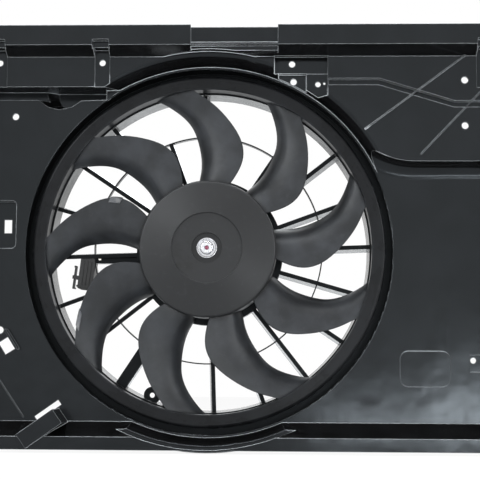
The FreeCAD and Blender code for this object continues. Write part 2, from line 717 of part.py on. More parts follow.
def stator_guard():
    """Struts, middle ring and motor seat behind the fan, cut to fit inside the barrel."""
    y0, y1 = GUARD_FRONT, GUARD_FRONT + GUARD_DEPTH
    far = BARREL_RADIUS + WALL
    near = SEAT_OUTER_RADIUS - WALL
    mid = MID_RING_RADIUS
    pieces = [disc(SEAT_OUTER_RADIUS, y0, y0 + SEAT_THICK, SEAT_INNER_RADIUS)]
    pieces.append(disc(SEAT_OUTER_RADIUS, y0, y1 - WALL, SEAT_OUTER_RADIUS - WALL))
    mid_ring = disc(mid + MID_RING_THICK / 2, y0, y0 + MID_RING_DEPTH, mid - MID_RING_THICK / 2)
    mid_ring.translate(vec(MID_RING_SHIFT[0], 0, MID_RING_SHIFT[1]))
    pieces.append(mid_ring)
    pieces += [strut(strut_angle(n), near, far) for n in FULL_STRUTS]
    pieces += [strut(strut_angle(n), mid - MID_RING_SHIFT[1], far) for n in OUTER_STRUTS]
    pieces += [strut(strut_angle(n), near, mid + MID_RING_SHIFT[1]) for n in INNER_STRUTS]
    pieces.append(strut(CHANNEL_ANGLE, near, far, CHANNEL_WIDTH, 0))
    guard = pieces[0].multiFuse(pieces[1:])
    channel = strut(CHANNEL_ANGLE, near, far, CHANNEL_WIDTH - 2 * WALL, 0)
    channel.translate(vec(0, WALL, 0))
    guard = guard.cut(channel)
    slope = BARREL_DRAFT * (BARREL_END - RECESS_DEPTH)
    bore = turned([(0, RECESS_DEPTH), (BARREL_RADIUS - GUARD_CLEARANCE, RECESS_DEPTH),
                   (BARREL_RADIUS - GUARD_CLEARANCE - slope, BARREL_END), (0, BARREL_END)])
    guard = guard.common(bore)
    guard = guard.cut(disc(SEAT_OUTER_RADIUS - WALL, y0 + SEAT_THICK, y1 + LAP))
    for angle in motor_screw_angles():
        x, z = at_fan(MOTOR_SCREW_CIRCLE, angle)
        guard = guard.cut(drill(x, z, MOTOR_SCREW_RADIUS, y0 - LAP, y1))
    guard = guard.cut(arm_hollow()).fuse(connector_arm()).cut(strip_way())
    return guard.cut(plug_block(PLUG_GAP)).removeSplitter()


def station_radius(share):
    """Radius at a share of the way from just inside the hub to just inside the ring."""
    root, tip = HUB_RADIUS - BLADE_ROOT, RING_RADIUS + BLADE_TIP
    return root + share * (tip - root)


def blade_section(share, lead, trail, front, depth, camber, grow=0.0):
    """Cambered blade section on a plane square to the radius through its middle."""
    radius = station_radius(share)
    half = radians(trail - lead) / 2
    middle = radians(trail + lead) / 2
    distance = radius * cos(half)
    reach = radius * sin(half)
    out = vec(cos(middle), 0, sin(middle))
    along = vec(-sin(middle), 0, cos(middle))
    centre = FAN_ORIGIN + out * distance
    nose = centre - along * reach + AXIS * front
    tail = centre + along * reach + AXIS * (front + depth)
    chord = tail - nose
    normal = (along * depth - AXIS * (2 * reach)).normalize()
    overhang = chord * (grow / chord.Length)
    # The section bends in two parabolas that meet level at the crest
    fullness = {0: 0, BLADE_CREST / 2: 0.75, BLADE_CREST: 1, (1 + BLADE_CREST) / 2: 0.75, 1: 0}
    sides = []
    for side in (1, -1):
        points = []
        for place, full in fullness.items():
            thick = BLADE_EDGE + full * (BLADE_THICK - BLADE_EDGE)
            rise = full * camber + side * (thick / 2 + grow)
            points.append(nose + chord * place + overhang * (2 * place - 1) + normal * rise)
        curve = Part.BSplineCurve()
        curve.interpolate(points)
        sides.append((points, curve.toShape()))
    (upper, front_side), (lower, rear_side) = sides
    return Part.Wire([front_side, Part.LineSegment(upper[-1], lower[-1]).toShape(), rear_side,
                      Part.LineSegment(lower[0], upper[0]).toShape()])


def blade(grow=0.0):
    return Part.makeLoft([blade_section(*station, grow) for station in BLADE_STATIONS], True, False)


def leading_angle(radius):
    """Angle of the leading edge of the first blade at a radius, between the stations."""
    for inner, outer in zip(BLADE_STATIONS, BLADE_STATIONS[1:]):
        r0, r1 = station_radius(inner[0]), station_radius(outer[0])
        if radius <= r1:
            return inner[1] + (radius - r0) / (r1 - r0) * (outer[1] - inner[1])
    return BLADE_STATIONS[-1][1]


def balance_clips():
    """Spring clips pushed over the leading edge of two blades."""
    outside = blade(CLIP_GAP + CLIP_THICK)
    inside = blade(CLIP_GAP)
    clips = []
    for number, radius in BALANCE_CLIPS:
        r0, r1 = radius - CLIP_LENGTH / 2, radius + CLIP_LENGTH / 2
        window = [at_fan(r0, leading_angle(r0) - 8), at_fan(r1, leading_angle(r1) - 8),
                  at_fan(r1, leading_angle(r1) + CLIP_REACH / r1 * 180 / pi),
                  at_fan(r0, leading_angle(r0) + CLIP_REACH / r0 * 180 / pi)]
        clip = outside.common(prism(window, 0, GUARD_FRONT)).cut(inside)
        clips.append(about_fan(clip, 360.0 * number / BLADE_COUNT))
    return clips


def hub_front():
    """Outer profile of the hub, from the well at the centre to the rear of its skirt."""
    return [(0, HUB_WELL_FLOOR), (HUB_WELL_RADIUS, HUB_WELL_FLOOR), (HUB_WELL_RADIUS, HUB_DISC_FRONT),
            (HUB_DISC_RADIUS - 0.6, HUB_DISC_FRONT), (HUB_DISC_RADIUS, HUB_LIP_FRONT, HUB_LIP_ROUND),
            (HUB_RADIUS, HUB_RIM_FRONT, HUB_RIM_ROUND)]


def fan_impeller():
    """Hub, nine swept blades and the ring around their tips, moulded in one."""
    hub = turned(hub_front() + [(HUB_RADIUS, HUB_REAR), (0, HUB_REAR)])
    w = HUB_WALL
    rise = HUB_WEB
    inner = [(0, HUB_WELL_FLOOR + rise), (HUB_WELL_RADIUS + w, HUB_WELL_FLOOR + rise),
             (HUB_DISC_RADIUS + w, HUB_DISC_FRONT + rise), (HUB_RADIUS - w, HUB_RIM_FRONT + rise),
             (HUB_RADIUS - w, HUB_REAR + LAP), (0, HUB_REAR + LAP)]
    ring = turned([(RING_RADIUS, RING_REAR), (RING_RADIUS, RING_FRONT, RING_ROUND),
                   (RING_LIP_RADIUS, RING_FRONT, RING_LIP_ROUND), (RING_LIP_RADIUS, RING_LIP_REAR),
                   (RING_LIP_RADIUS - RING_WALL, RING_LIP_REAR),
                   (RING_LIP_RADIUS - RING_WALL, RING_FRONT + RING_WALL, RING_LIP_ROUND - RING_WALL),
                   (RING_RADIUS + RING_WALL, RING_FRONT + RING_WALL), (RING_RADIUS + RING_WALL, RING_REAR)])
    hollow = turned(inner)
    boss = disc(HUB_BOSS_RADIUS, HUB_WELL_FLOOR, HUB_BOSS_REAR)
    step_r, step_y = HUB_RIB_STEP
    rib_corners = [(0, HUB_DISC_FRONT + rise), (HUB_RADIUS - w / 2, HUB_DISC_FRONT + rise),
                   (HUB_RADIUS - w / 2, HUB_RIB_REAR), (step_r, HUB_RIB_REAR), (step_r, step_y), (0, step_y)]
    rib_points = [vec(FAN_X + r, y, FAN_Z - 0.4 * w) for r, y in rib_corners]
    rib = Part.Face(Part.makePolygon(rib_points + rib_points[:1])).extrude(vec(0, 0, 0.8 * w))
    ribs = [r.common(hollow) for r in ring_of(rib, HUB_RIB_COUNT)]
    body = hub.multiFuse(ring_of(blade(), BLADE_COUNT) + [ring]).cut(hollow)
    body = body.multiFuse(ribs + [boss])
    body = body.cut(disc(INSERT_RADIUS, HUB_WELL_FLOOR - LAP, HUB_BOSS_REAR + LAP))
    return body.removeSplitter()


def hub_insert():
    return disc(INSERT_RADIUS - SEAT_FIT, HUB_WELL_FLOOR, HUB_BOSS_REAR, SHAFT_RADIUS + SEAT_FIT)


def hub_washer():
    """Bright washer with a raised rim under the centre screw."""
    y1 = HUB_WELL_FLOOR
    y0 = y1 - WASHER_THICK
    rim = WASHER_RADIUS - 1.2
    return turned([(SCREW_SHANK_RADIUS + 0.15, y1), (SCREW_SHANK_RADIUS + 0.15, y0 + 0.5), (rim - 0.6, y0 + 0.5),
                   (rim, y0), (WASHER_RADIUS - 0.3, y0), (WASHER_RADIUS, y0 + 0.4), (WASHER_RADIUS, y1)])


def hexagon(flats, y0, y1):
    radius = flats / sqrt(3)
    corners = [at_fan(radius, 60 * i) for i in range(6)]
    return prism(corners, y0, y1)


def hub_screw():
    """Round-headed socket screw that clamps the hub on the shaft."""
    seat = HUB_WELL_FLOOR - WASHER_THICK + 0.5
    top = seat - SCREW_HEAD_HEIGHT
    r = SCREW_HEAD_RADIUS
    body = turned([(0, top), (r, top, SCREW_HEAD_ROUND), (r, seat), (SCREW_SHANK_RADIUS, seat),
                   (SCREW_SHANK_RADIUS, seat + SCREW_LENGTH), (0, seat + SCREW_LENGTH)])
    return body.cut(hexagon(SOCKET_FLATS, top - LAP, top + SOCKET_DEPTH))


def motor_shaft():
    body = disc(SHAFT_RADIUS, SHAFT_FRONT, SHAFT_REAR)
    return body.cut(disc(SHAFT_TAP_RADIUS, SHAFT_FRONT - LAP, SHAFT_FRONT + SHAFT_TAP_DEPTH))


def front_bearing_y():
    """Depth of the front face of the front bearing."""
    return CAN_FRONT + CAN_WALL - BEARING_WIDTH


def rear_bearing_y():
    return CAN_REAR + CAP_DEPTH


def ball_pitch():
    return (SHAFT_RADIUS + BEARING_OUTER_RADIUS) / 2


def race_groove():
    """Ring of eight-sided section that clears the balls in both races."""
    middle = front_bearing_y() + BEARING_WIDTH / 2
    reach = (BALL_RADIUS + BALL_PLAY) / cos(pi / 8)
    corners = [(ball_pitch() + reach * cos(pi / 8 + pi / 4 * i), middle + reach * sin(pi / 8 + pi / 4 * i))
               for i in range(8)]
    return turned(corners)


def inner_race():
    y0 = front_bearing_y()
    ring = disc(SHAFT_RADIUS + RACE_THICK, y0, y0 + BEARING_WIDTH, SHAFT_RADIUS + SEAT_FIT)
    return ring.cut(race_groove())


def outer_race():
    y0 = front_bearing_y()
    ring = disc(BEARING_OUTER_RADIUS - SEAT_FIT, y0, y0 + BEARING_WIDTH, BEARING_OUTER_RADIUS - RACE_THICK)
    return ring.cut(race_groove())


def ball(x, y, z):
    """Ball built from a few conical bands, with its equator true to size."""
    turns = [pi * i / BALL_BANDS for i in range(BALL_BANDS + 1)]
    points = [vec(x + BALL_RADIUS * sin(turn), y - BALL_RADIUS * cos(turn), z) for turn in turns]
    return Part.Face(Part.makePolygon(points + points[:1])).revolve(vec(x, y, z), AXIS, 360)


def ball_set():
    """Balls of the front bearing and the cage that spaces them."""
    middle = front_bearing_y() + BEARING_WIDTH / 2
    cage = disc(ball_pitch() + CAGE_THICK / 2, middle - CAGE_HALF_WIDTH, middle + CAGE_HALF_WIDTH,
                ball_pitch() - CAGE_THICK / 2)
    balls = []
    for i in range(BALL_COUNT):
        x, z = at_fan(ball_pitch(), 360.0 * i / BALL_COUNT)
        balls.append(ball(x, middle, z))
        cage = cage.cut(drill_along((x, middle, z), 360.0 * i / BALL_COUNT, BALL_RADIUS + SEAT_FIT))
    return [cage] + balls


def drill_along(point, angle, radius):
    """Short radial pin of the ball's size through the cage."""
    way = vec(cos(radians(angle)), 0, sin(radians(angle)))
    return Part.makeCylinder(radius, 2 * CAGE_THICK, FreeCAD.Vector(*point) - way * CAGE_THICK, way)


def rear_bush():
    """Sintered bush in the pocket of the rear cap."""
    y0 = rear_bearing_y()
    return disc(BEARING_OUTER_RADIUS - SEAT_FIT, y0, y0 + BEARING_WIDTH, SHAFT_RADIUS + BUSH_FIT)


def motor_can():
    """Drawn steel can with a bearing pocket at the front and a seat flange at its waist."""
    r, w = CAN_RADIUS, CAN_WALL
    pocket = BEARING_OUTER_RADIUS + POCKET_WALL
    nose = front_bearing_y() - POCKET_WALL
    flange_y = guard_seat_rear()
    bore = SHAFT_RADIUS + RACE_THICK + RACE_RELIEF
    profile = [(bore, nose), (pocket, nose), (pocket, CAN_FRONT), (r - 4, CAN_FRONT),
               (r, CAN_FRONT + 4), (r, flange_y), (CAN_FLANGE_RADIUS, flange_y),
               (CAN_FLANGE_RADIUS, flange_y + CAN_FLANGE_THICK), (r, flange_y + CAN_FLANGE_THICK), (r, CAN_REAR),
               (r - w, CAN_REAR), (r - w, CAN_FRONT + 4 + w / 2), (r - 4 - w / 2, CAN_FRONT + w),
               (BEARING_OUTER_RADIUS, CAN_FRONT + w), (BEARING_OUTER_RADIUS, front_bearing_y()),
               (bore, front_bearing_y())]
    can = turned(profile)
    for angle in motor_screw_angles():
        x, z = at_fan(MOTOR_SCREW_CIRCLE, angle)
        can = can.cut(drill(x, z, MOTOR_SCREW_RADIUS + 0.3, flange_y - LAP, flange_y + CAN_FLANGE_THICK + LAP))
    return can


def rear_cap():
    """Pressed end cap with a bearing pocket, closed behind the shaft."""
    r, w = CAN_RADIUS, CAN_WALL
    y0 = CAN_REAR
    y1 = rear_bearing_y()
    pocket = BEARING_OUTER_RADIUS + POCKET_WALL
    end = y1 + BEARING_WIDTH + BEARING_GAP
    profile = [(r, y0), (r, y1 - CAP_RIM), (r - CAP_RIM, y1 + w), (pocket, y1 + w), (pocket, end + w), (0, end + w),
               (0, end), (BEARING_OUTER_RADIUS, end), (BEARING_OUTER_RADIUS, y1), (r - CAP_RIM - w / 2, y1),
               (r - w, y1 - CAP_RIM), (r - w, y0)]
    cap = turned(profile)
    exit_window = block(FAN_X - r - LAP, FAN_X - r + 2 * w, y0 - LAP, y0 + 4, ARM_Z - 5, ARM_Z + 5)
    return cap.cut(exit_window)


def magnets():
    """Arc magnets bonded to the wall of the can."""
    outer = CAN_RADIUS - CAN_WALL - MAGNET_GAP
    inner = outer - MAGNET_THICK
    tube = disc(outer, MAGNET_FRONT, MAGNET_REAR, inner)
    half = radians(MAGNET_SPAN / 2)
    reach = 2 * outer
    wedge = [(FAN_X, FAN_Z), (FAN_X + reach, FAN_Z - reach * tan(half)), (FAN_X + reach, FAN_Z + reach * tan(half))]
    arc = tube.common(prism(wedge, MAGNET_FRONT, MAGNET_REAR))
    return ring_of(arc, MAGNET_COUNT, 180.0 / MAGNET_COUNT)


def core_radius():
    return CAN_RADIUS - CAN_WALL - MAGNET_GAP - MAGNET_THICK - AIR_GAP


def slot_corners():
    """Outline of one winding slot, wide towards its mouth."""
    r = core_radius()
    foot = r - TOOTH_TIP - SLOT_DEPTH
    return [(FAN_X + foot, FAN_Z - SLOT_FOOT_WIDTH / 2), (FAN_X + r - TOOTH_TIP, FAN_Z - SLOT_WIDTH / 2),
            (FAN_X + r - TOOTH_TIP, FAN_Z + SLOT_WIDTH / 2), (FAN_X + foot, FAN_Z + SLOT_FOOT_WIDTH / 2)]


def armature_core():
    r = core_radius()
    core = disc(r, CORE_FRONT, CORE_REAR, SHAFT_RADIUS + SEAT_FIT)
    slot = prism(slot_corners(), CORE_FRONT - LAP, CORE_REAR + LAP)
    mouth = block(FAN_X + r - TOOTH_TIP - LAP, FAN_X + r + LAP, CORE_FRONT - LAP, CORE_REAR + LAP,
                  FAN_Z - SLOT_MOUTH / 2, FAN_Z + SLOT_MOUTH / 2)
    return core.cut(join(ring_of(slot.fuse(mouth), SLOT_COUNT)))


def armature_winding():
    """Copper in the slots with a rounded bundle at each end of the core."""
    r = core_radius() - TOOTH_TIP - 1.0
    foot = r - SLOT_DEPTH + 1.5
    sleeve = disc(r, CORE_FRONT - LAP, CORE_REAR + LAP, foot)
    bar = prism(grown(slot_corners(), -SLOT_LINER), CORE_FRONT - LAP, CORE_REAR + LAP).common(sleeve)
    ends = []
    for inner_y, way in ((CORE_FRONT - 0.1, -1), (CORE_REAR + 0.1, 1)):
        tip = inner_y + way * WINDING_OVERHANG
        ends.append(turned([(foot - 6, inner_y), (r, inner_y), (r, inner_y + way * 3), (r - 4, tip),
                            (foot - 2, tip), (foot - 6, tip - way * 2)]))
    return join(ring_of(bar, SLOT_COUNT) + ends)


def commutator():
    body = disc(COMMUTATOR_RADIUS, COMMUTATOR_FRONT, COMMUTATOR_REAR, SHAFT_RADIUS + SEAT_FIT)
    riser = disc(COMMUTATOR_RADIUS + 2, COMMUTATOR_FRONT, COMMUTATOR_FRONT + 2, COMMUTATOR_RADIUS - 1)
    slit = block(FAN_X + COMMUTATOR_RADIUS - 1.5, FAN_X + COMMUTATOR_RADIUS + 3, COMMUTATOR_FRONT - LAP,
                 COMMUTATOR_REAR + LAP, FAN_Z - 0.3, FAN_Z + 0.3)
    return body.fuse(riser).cut(join(ring_of(slit, COMMUTATOR_BARS)))


def brush_card_y():
    return COMMUTATOR_FRONT + 3.0


def brush_block(inner, outer, side):
    """Radial bar on the +X side at the height of the brushes."""
    length, width, height = BRUSH_SIZE
    y0 = brush_card_y() + BRUSH_CARD_THICK + HOLDER_WALL + BRUSH_PLAY
    return block(FAN_X + inner, FAN_X + outer, y0 - side, y0 + height + side,
                 FAN_Z - width / 2 - side, FAN_Z + width / 2 + side)


def brush_inner():
    return COMMUTATOR_RADIUS + 0.05


def brush_plate():
    """Card that carries the brush boxes inside the end of the can."""
    y0 = brush_card_y()
    card = disc(CAN_RADIUS - CAN_WALL - 0.1, y0, y0 + BRUSH_CARD_THICK, COMMUTATOR_RADIUS + 3)
    box_inner = COMMUTATOR_RADIUS + 3
    box_outer = brush_inner() + BRUSH_SIZE[0] + SPRING_ROOM
    holder = brush_block(box_inner, box_outer, BRUSH_PLAY + HOLDER_WALL)
    hollow = brush_block(box_inner - LAP, box_outer - HOLDER_WALL, BRUSH_PLAY)
    boxes = ring_of(holder.cut(hollow), 2)
    return card.multiFuse(boxes).removeSplitter()


def carbon_brushes():
    bar = brush_block(brush_inner(), brush_inner() + BRUSH_SIZE[0], 0)
    return ring_of(bar.cut(disc(brush_inner(), CAN_FRONT, BEYOND)), 2)


def brush_springs():
    """Folded leaf springs that press the brushes on the commutator."""
    start = brush_inner() + BRUSH_SIZE[0] + SPRING_GAP
    end = brush_inner() + BRUSH_SIZE[0] + SPRING_ROOM - HOLDER_WALL - SPRING_GAP
    y = brush_card_y() + BRUSH_CARD_THICK + HOLDER_WALL + BRUSH_PLAY + (BRUSH_SIZE[2] - SPRING_WIDTH) / 2
    reach = SPRING_LEAF / 2 + SPRING_GAP
    path = []
    for i in range(SPRING_FOLDS + 1):
        x = FAN_X + start + reach + (end - start - 2 * reach) * i / SPRING_FOLDS
        path.append((x, FAN_Z + (SPRING_SWING if i % 2 else -SPRING_SWING)))
    return ring_of(prism(ribbon(path, SPRING_LEAF), y, y + SPRING_WIDTH), 2)


def suppression_chokes():
    """Two wound chokes that lie on the brush card beside the brush boxes."""
    y = brush_card_y() + BRUSH_CARD_THICK + CHOKE_RADIUS + 0.1
    x = FAN_X + CHOKE_PLACE
    choke = Part.makeCylinder(CHOKE_RADIUS, CHOKE_LENGTH, vec(x, y, FAN_Z - CHOKE_LENGTH / 2), vec(0, 0, 1))
    core = Part.makeCylinder(0.5 * CHOKE_RADIUS, CHOKE_LENGTH + 4,
                             vec(x, y, FAN_Z - CHOKE_LENGTH / 2 - 2), vec(0, 0, 1))
    return ring_of(choke.fuse(core), 2, 90.0)


def motor_screws():
    """Screws from the rear through the can flange into the guard seat."""
    head_y = guard_seat_rear() + CAN_FLANGE_THICK + PAD_THICK
    screws = []
    for angle in motor_screw_angles():
        x, z = at_fan(MOTOR_SCREW_CIRCLE, angle)
        shank = drill(x, z, MOTOR_SCREW_RADIUS - 0.05, head_y - MOTOR_SCREW_LENGTH, head_y)
        head = drill(x, z, MOTOR_SCREW_HEAD, head_y, head_y + 3.2)
        drive = prism([(x + 2.6 * cos(radians(60 * i)), z + 2.6 * sin(radians(60 * i))) for i in range(6)],
                      head_y + 1.2, head_y + 4)
        screws.append(shank.fuse(head).cut(drive))
    return screws


def motor_bushes():
    """Rubber washers under the motor screw heads."""
    y = guard_seat_rear() + CAN_FLANGE_THICK
    bushes = []
    for angle in motor_screw_angles():
        x, z = at_fan(MOTOR_SCREW_CIRCLE, angle)
        bushes.append(drill(x, z, PAD_RADIUS, y, y + PAD_THICK).cut(
            drill(x, z, MOTOR_SCREW_RADIUS + 0.1, y - LAP, y + PAD_THICK + LAP)))
    return bushes


def mount_sleeves():
    sleeves = []
    for x, z in lug_centres():
        tube = drill(x, z, SLEEVE_RADIUS, 0, LUG_THICK)
        sleeves.append(tube.cut(drill(x, z, SLEEVE_BORE, -LAP, LUG_THICK + LAP)))
    return sleeves


def shaft_circlip():
    """Open spring ring behind the rear bearing."""
    y = rear_bearing_y() - CIRCLIP_THICK - CIRCLIP_GAP
    ring = disc(SHAFT_RADIUS + CIRCLIP_WIDTH, y, y + CIRCLIP_THICK, SHAFT_RADIUS + SEAT_FIT)
    gap = block(FAN_X, FAN_X + 12, y - LAP, y + LAP + CIRCLIP_THICK, FAN_Z - 2, FAN_Z + 2)
    return ring.cut(gap)


def magnet_springs():
    """Bent spring strips that wedge the magnets apart."""
    outer = CAN_RADIUS - CAN_WALL - MAGNET_GAP
    inner = outer - MAGNET_THICK
    gap = (360.0 / MAGNET_COUNT - MAGNET_SPAN) / 2
    edges = [at_fan(r, 180.0 / MAGNET_COUNT * 0 + side * a) for r, side, a in
             ((inner + LAP, -1, gap - 1.6), (outer - LAP, -1, gap - 1.4), (outer - LAP, 1, gap - 1.4),
              (inner + LAP, 1, gap - 1.6))]
    return ring_of(prism(ribbon(edges, MAGNET_SPRING_THICK), MAGNET_FRONT + 4, MAGNET_REAR - 4), MAGNET_COUNT)


def plug_frame(u0, u1, v0, v1, corner=0.0):
    """Corners in the tilted axes of the connector, from its centre."""
    points = tilted(PLUG_CENTRE, PLUG_TURN, u0, u1, v0, v1)
    return [(x, z, corner) for x, z in points] if corner > 0 else points


def plug_block(grow):
    half_w, half_l = PLUG_WIDTH / 2 + grow, PLUG_LENGTH / 2 + grow
    body = plug_frame(-half_w, half_w, -half_l, half_l, PLUG_CORNER)
    return prism(body, PLUG_FRONT - grow, PLUG_FRONT + PLUG_DEPTH + grow)


def connector_arm():
    """Channel on the guard that carries the supply strips to the connector."""
    x1 = FAN_X - SEAT_OUTER_RADIUS + 2 * WALL
    low, high = ARM_Z - ARM_HEIGHT / 2, ARM_Z + ARM_HEIGHT / 2
    outer = block(ARM_LEFT, x1, ARM_FRONT, ARM_FRONT + ARM_DEPTH, low, high)
    return outer.cut(arm_hollow()).cut(drill(*ARM_HOLE, ARM_FRONT - LAP, ARM_FRONT + 2 * ARM_WALL))


def arm_hollow():
    """Open inside of the arm, clear of struts to the rear of the guard."""
    half = ARM_HEIGHT / 2 - ARM_WALL
    return block(ARM_LEFT - LAP, FAN_X - SEAT_OUTER_RADIUS, ARM_FRONT + ARM_WALL,
                 GUARD_FRONT + GUARD_DEPTH + LAP, ARM_Z - half, ARM_Z + half)


def strip_way():
    """Notch in the wall of the motor seat that lets the supply strips through."""
    half = ARM_HEIGHT / 2 - ARM_WALL
    reach = SEAT_OUTER_RADIUS + WALL
    return block(FAN_X - reach, FAN_X - CAN_FLANGE_RADIUS, guard_seat_rear() + CAN_FLANGE_THICK,
                 GUARD_FRONT + GUARD_DEPTH + LAP, ARM_Z - half, ARM_Z + half)


def strip_heights():
    return ARM_Z + STRIP_SPACING / 2, ARM_Z - STRIP_SPACING / 2


def terminal(side, z, grow):
    """Supply strip from the brush card to the connector, with its blade in the mouth."""
    g = grow
    u = side * TERMINAL_SPACING / 2
    drop = radians(PLUG_TURN)
    top = (z - PLUG_CENTRE[1]) / cos(drop) - u * tan(drop)
    x0 = plug_point(u, top)[0] - TERMINAL_THICK - g
    y0, y1 = STRIP_FRONT - g, STRIP_FRONT + STRIP_WIDTH + g
    end_y1 = STRIP_END_Y + TERMINAL_THICK * 3 + g
    path = [(x0, y0), (STRIP_TURN_X + g, y0), (STRIP_TURN_X + g, STRIP_END_Y - g), (STRIP_END_X, STRIP_END_Y - g),
            (STRIP_END_X, end_y1), (STRIP_TURN_X - STRIP_WIDTH - g, end_y1), (STRIP_TURN_X - STRIP_WIDTH - g, y1),
            (x0, y1)]
    half = TERMINAL_THICK / 2 + g
    points = [vec(x, y, z - half) for x, y in path]
    strip = Part.Face(Part.makePolygon(points + points[:1])).extrude(vec(0, 0, 2 * half))
    middle = PLUG_FRONT + PLUG_DEPTH / 2
    blade_bar = prism(plug_frame(u - half, u + half, top - TERMINAL_REACH - g, top + half),
                      middle - TERMINAL_WIDTH / 2 - g, middle + TERMINAL_WIDTH / 2 + g)
    return strip.fuse(blade_bar)


def terminals(grow=0.0):
    high, low = strip_heights()
    return [terminal(-1, high, grow), terminal(1, low, grow)]


def connector_housing():
    """Open-mouthed plug body with a header, ribs and a pair of ears for the lever."""
    half_w, half_l = PLUG_WIDTH / 2, PLUG_LENGTH / 2
    y0, y1 = PLUG_FRONT, PLUG_FRONT + PLUG_DEPTH
    body = plug_block(0)
    mouth = plug_frame(-half_w + PLUG_WALL, half_w - PLUG_WALL, -half_l - LAP, half_l - PLUG_HEADER, PLUG_WALL / 2)
    body = body.cut(prism(mouth, y0 + PLUG_WALL, y1 - PLUG_WALL))
    lip = plug_frame(-half_w - 1, half_w + 1, -half_l + 2, -half_l + 4)
    shape = [body, prism(lip, y0 - 1, y1 + 1).cut(plug_block(-PLUG_WALL / 2))]
    for u in PLUG_RIBS:
        shape.append(prism(plug_frame(u - 0.5, u + 0.5, -half_l + 4, half_l - PLUG_RIB_STOP), y0 - 1, y0 + LAP))
    pivot_u = lever_u() + LEVER_THICK / 2
    middle = (y0 + y1) / 2
    for side in (-1, 1):
        e0 = middle + side * (LEVER_WIDTH / 2 + LEVER_PLAY)
        e1 = e0 + side * LEVER_EAR
        ear = plug_frame(pivot_u - LEVER_EAR_REACH / 2, -half_w + LAP, LEVER_NECK_Y - LEVER_EAR_REACH / 2,
                         LEVER_NECK_Y + LEVER_EAR_REACH / 2)
        shape.append(prism(ear, min(e0, e1), max(e0, e1)))
    px, pz = plug_point(pivot_u, LEVER_NECK_Y)
    shape.append(drill(px, pz, LEVER_PIN_RADIUS, middle - LEVER_WIDTH / 2 - LEVER_EAR,
                       middle + LEVER_WIDTH / 2 + LEVER_EAR))
    housing = shape[0].multiFuse(shape[1:])
    for way in terminals(PLUG_GAP):
        housing = housing.cut(way)
    return housing.removeSplitter()


def plug_point(u, v):
    turn = radians(PLUG_TURN)
    return (PLUG_CENTRE[0] + u * cos(turn) - v * sin(turn), PLUG_CENTRE[1] + u * sin(turn) + v * cos(turn))


def lever_u():
    """Place of the lever's outer face across the connector."""
    return -PLUG_WIDTH / 2 - LEVER_GAP - LEVER_THICK


def connector_latch():
    """Rocking lever beside the plug body, pressed at its top to release its foot."""
    u0 = lever_u()
    u1 = u0 + LEVER_THICK
    middle = PLUG_FRONT + PLUG_DEPTH / 2
    y0, y1 = middle - LEVER_WIDTH / 2, middle + LEVER_WIDTH / 2
    px, pz = plug_point(u0 + LEVER_THICK / 2, LEVER_NECK_Y)
    barrel_r = LEVER_PIN_RADIUS + LEVER_PIN_FIT + 1.1
    shape = prism(plug_frame(u0, u1, LEVER_FOOT, LEVER_TOP), y0, y1)
    shape = shape.fuse(drill(px, pz, barrel_r, y0, y1))
    shape = shape.fuse(prism(plug_frame(u0, u1 + 1.2, LEVER_FOOT, LEVER_FOOT + 1.6), y0, y1))
    shape = shape.fuse(prism(plug_frame(u0 - 0.8, u1, LEVER_TOP - 2, LEVER_TOP), y0, y1))
    return shape.cut(drill(px, pz, LEVER_PIN_RADIUS + LEVER_PIN_FIT, y0 - LAP, y1 + LAP)).removeSplitter()


PARTS = {
    "shroud_panel": shroud_panel,
    "outlet_barrel": outlet_barrel,
    "stator_guard": stator_guard,
    "mount_sleeves": mount_sleeves,
    "fan_impeller": fan_impeller,
    "hub_insert": hub_insert,
    "hub_washer": hub_washer,
    "hub_screw": hub_screw,
    "motor_shaft": motor_shaft,
    "balance_clips": balance_clips,
    "bearing_inner_race": inner_race,
    "bearing_outer_race": outer_race,
    "bearing_balls": ball_set,
    "rear_bush": rear_bush,
    "motor_can": motor_can,
    "motor_rear_cap": rear_cap,
    "magnets": magnets,
    "armature_core": armature_core,
    "armature_winding": armature_winding,
    "commutator": commutator,
    "brush_plate": brush_plate,
    "carbon_brushes": carbon_brushes,
    "brush_springs": brush_springs,
    "suppression_chokes": suppression_chokes,
    "motor_screws": motor_screws,
    "motor_bushes": motor_bushes,
    "shaft_circlip": shaft_circlip,
    "magnet_springs": magnet_springs,
    "connector_housing": connector_housing,
    "connector_latch": connector_latch,
    "terminal_strips": terminals,
}


def main():
    os.makedirs("parts", exist_ok=True)
    for name, make in PARTS.items():
        made = make()
        shape = Part.makeCompound(made) if isinstance(made, list) else made
        shape.exportStep(os.path.join("parts", name + ".step"))


main()
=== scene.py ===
"""Auxiliary cooling fan: finishes, small dressed pieces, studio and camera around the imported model."""

import json
from math import cos, radians, sin

import bmesh
import bpy
from mathutils import Matrix, Vector


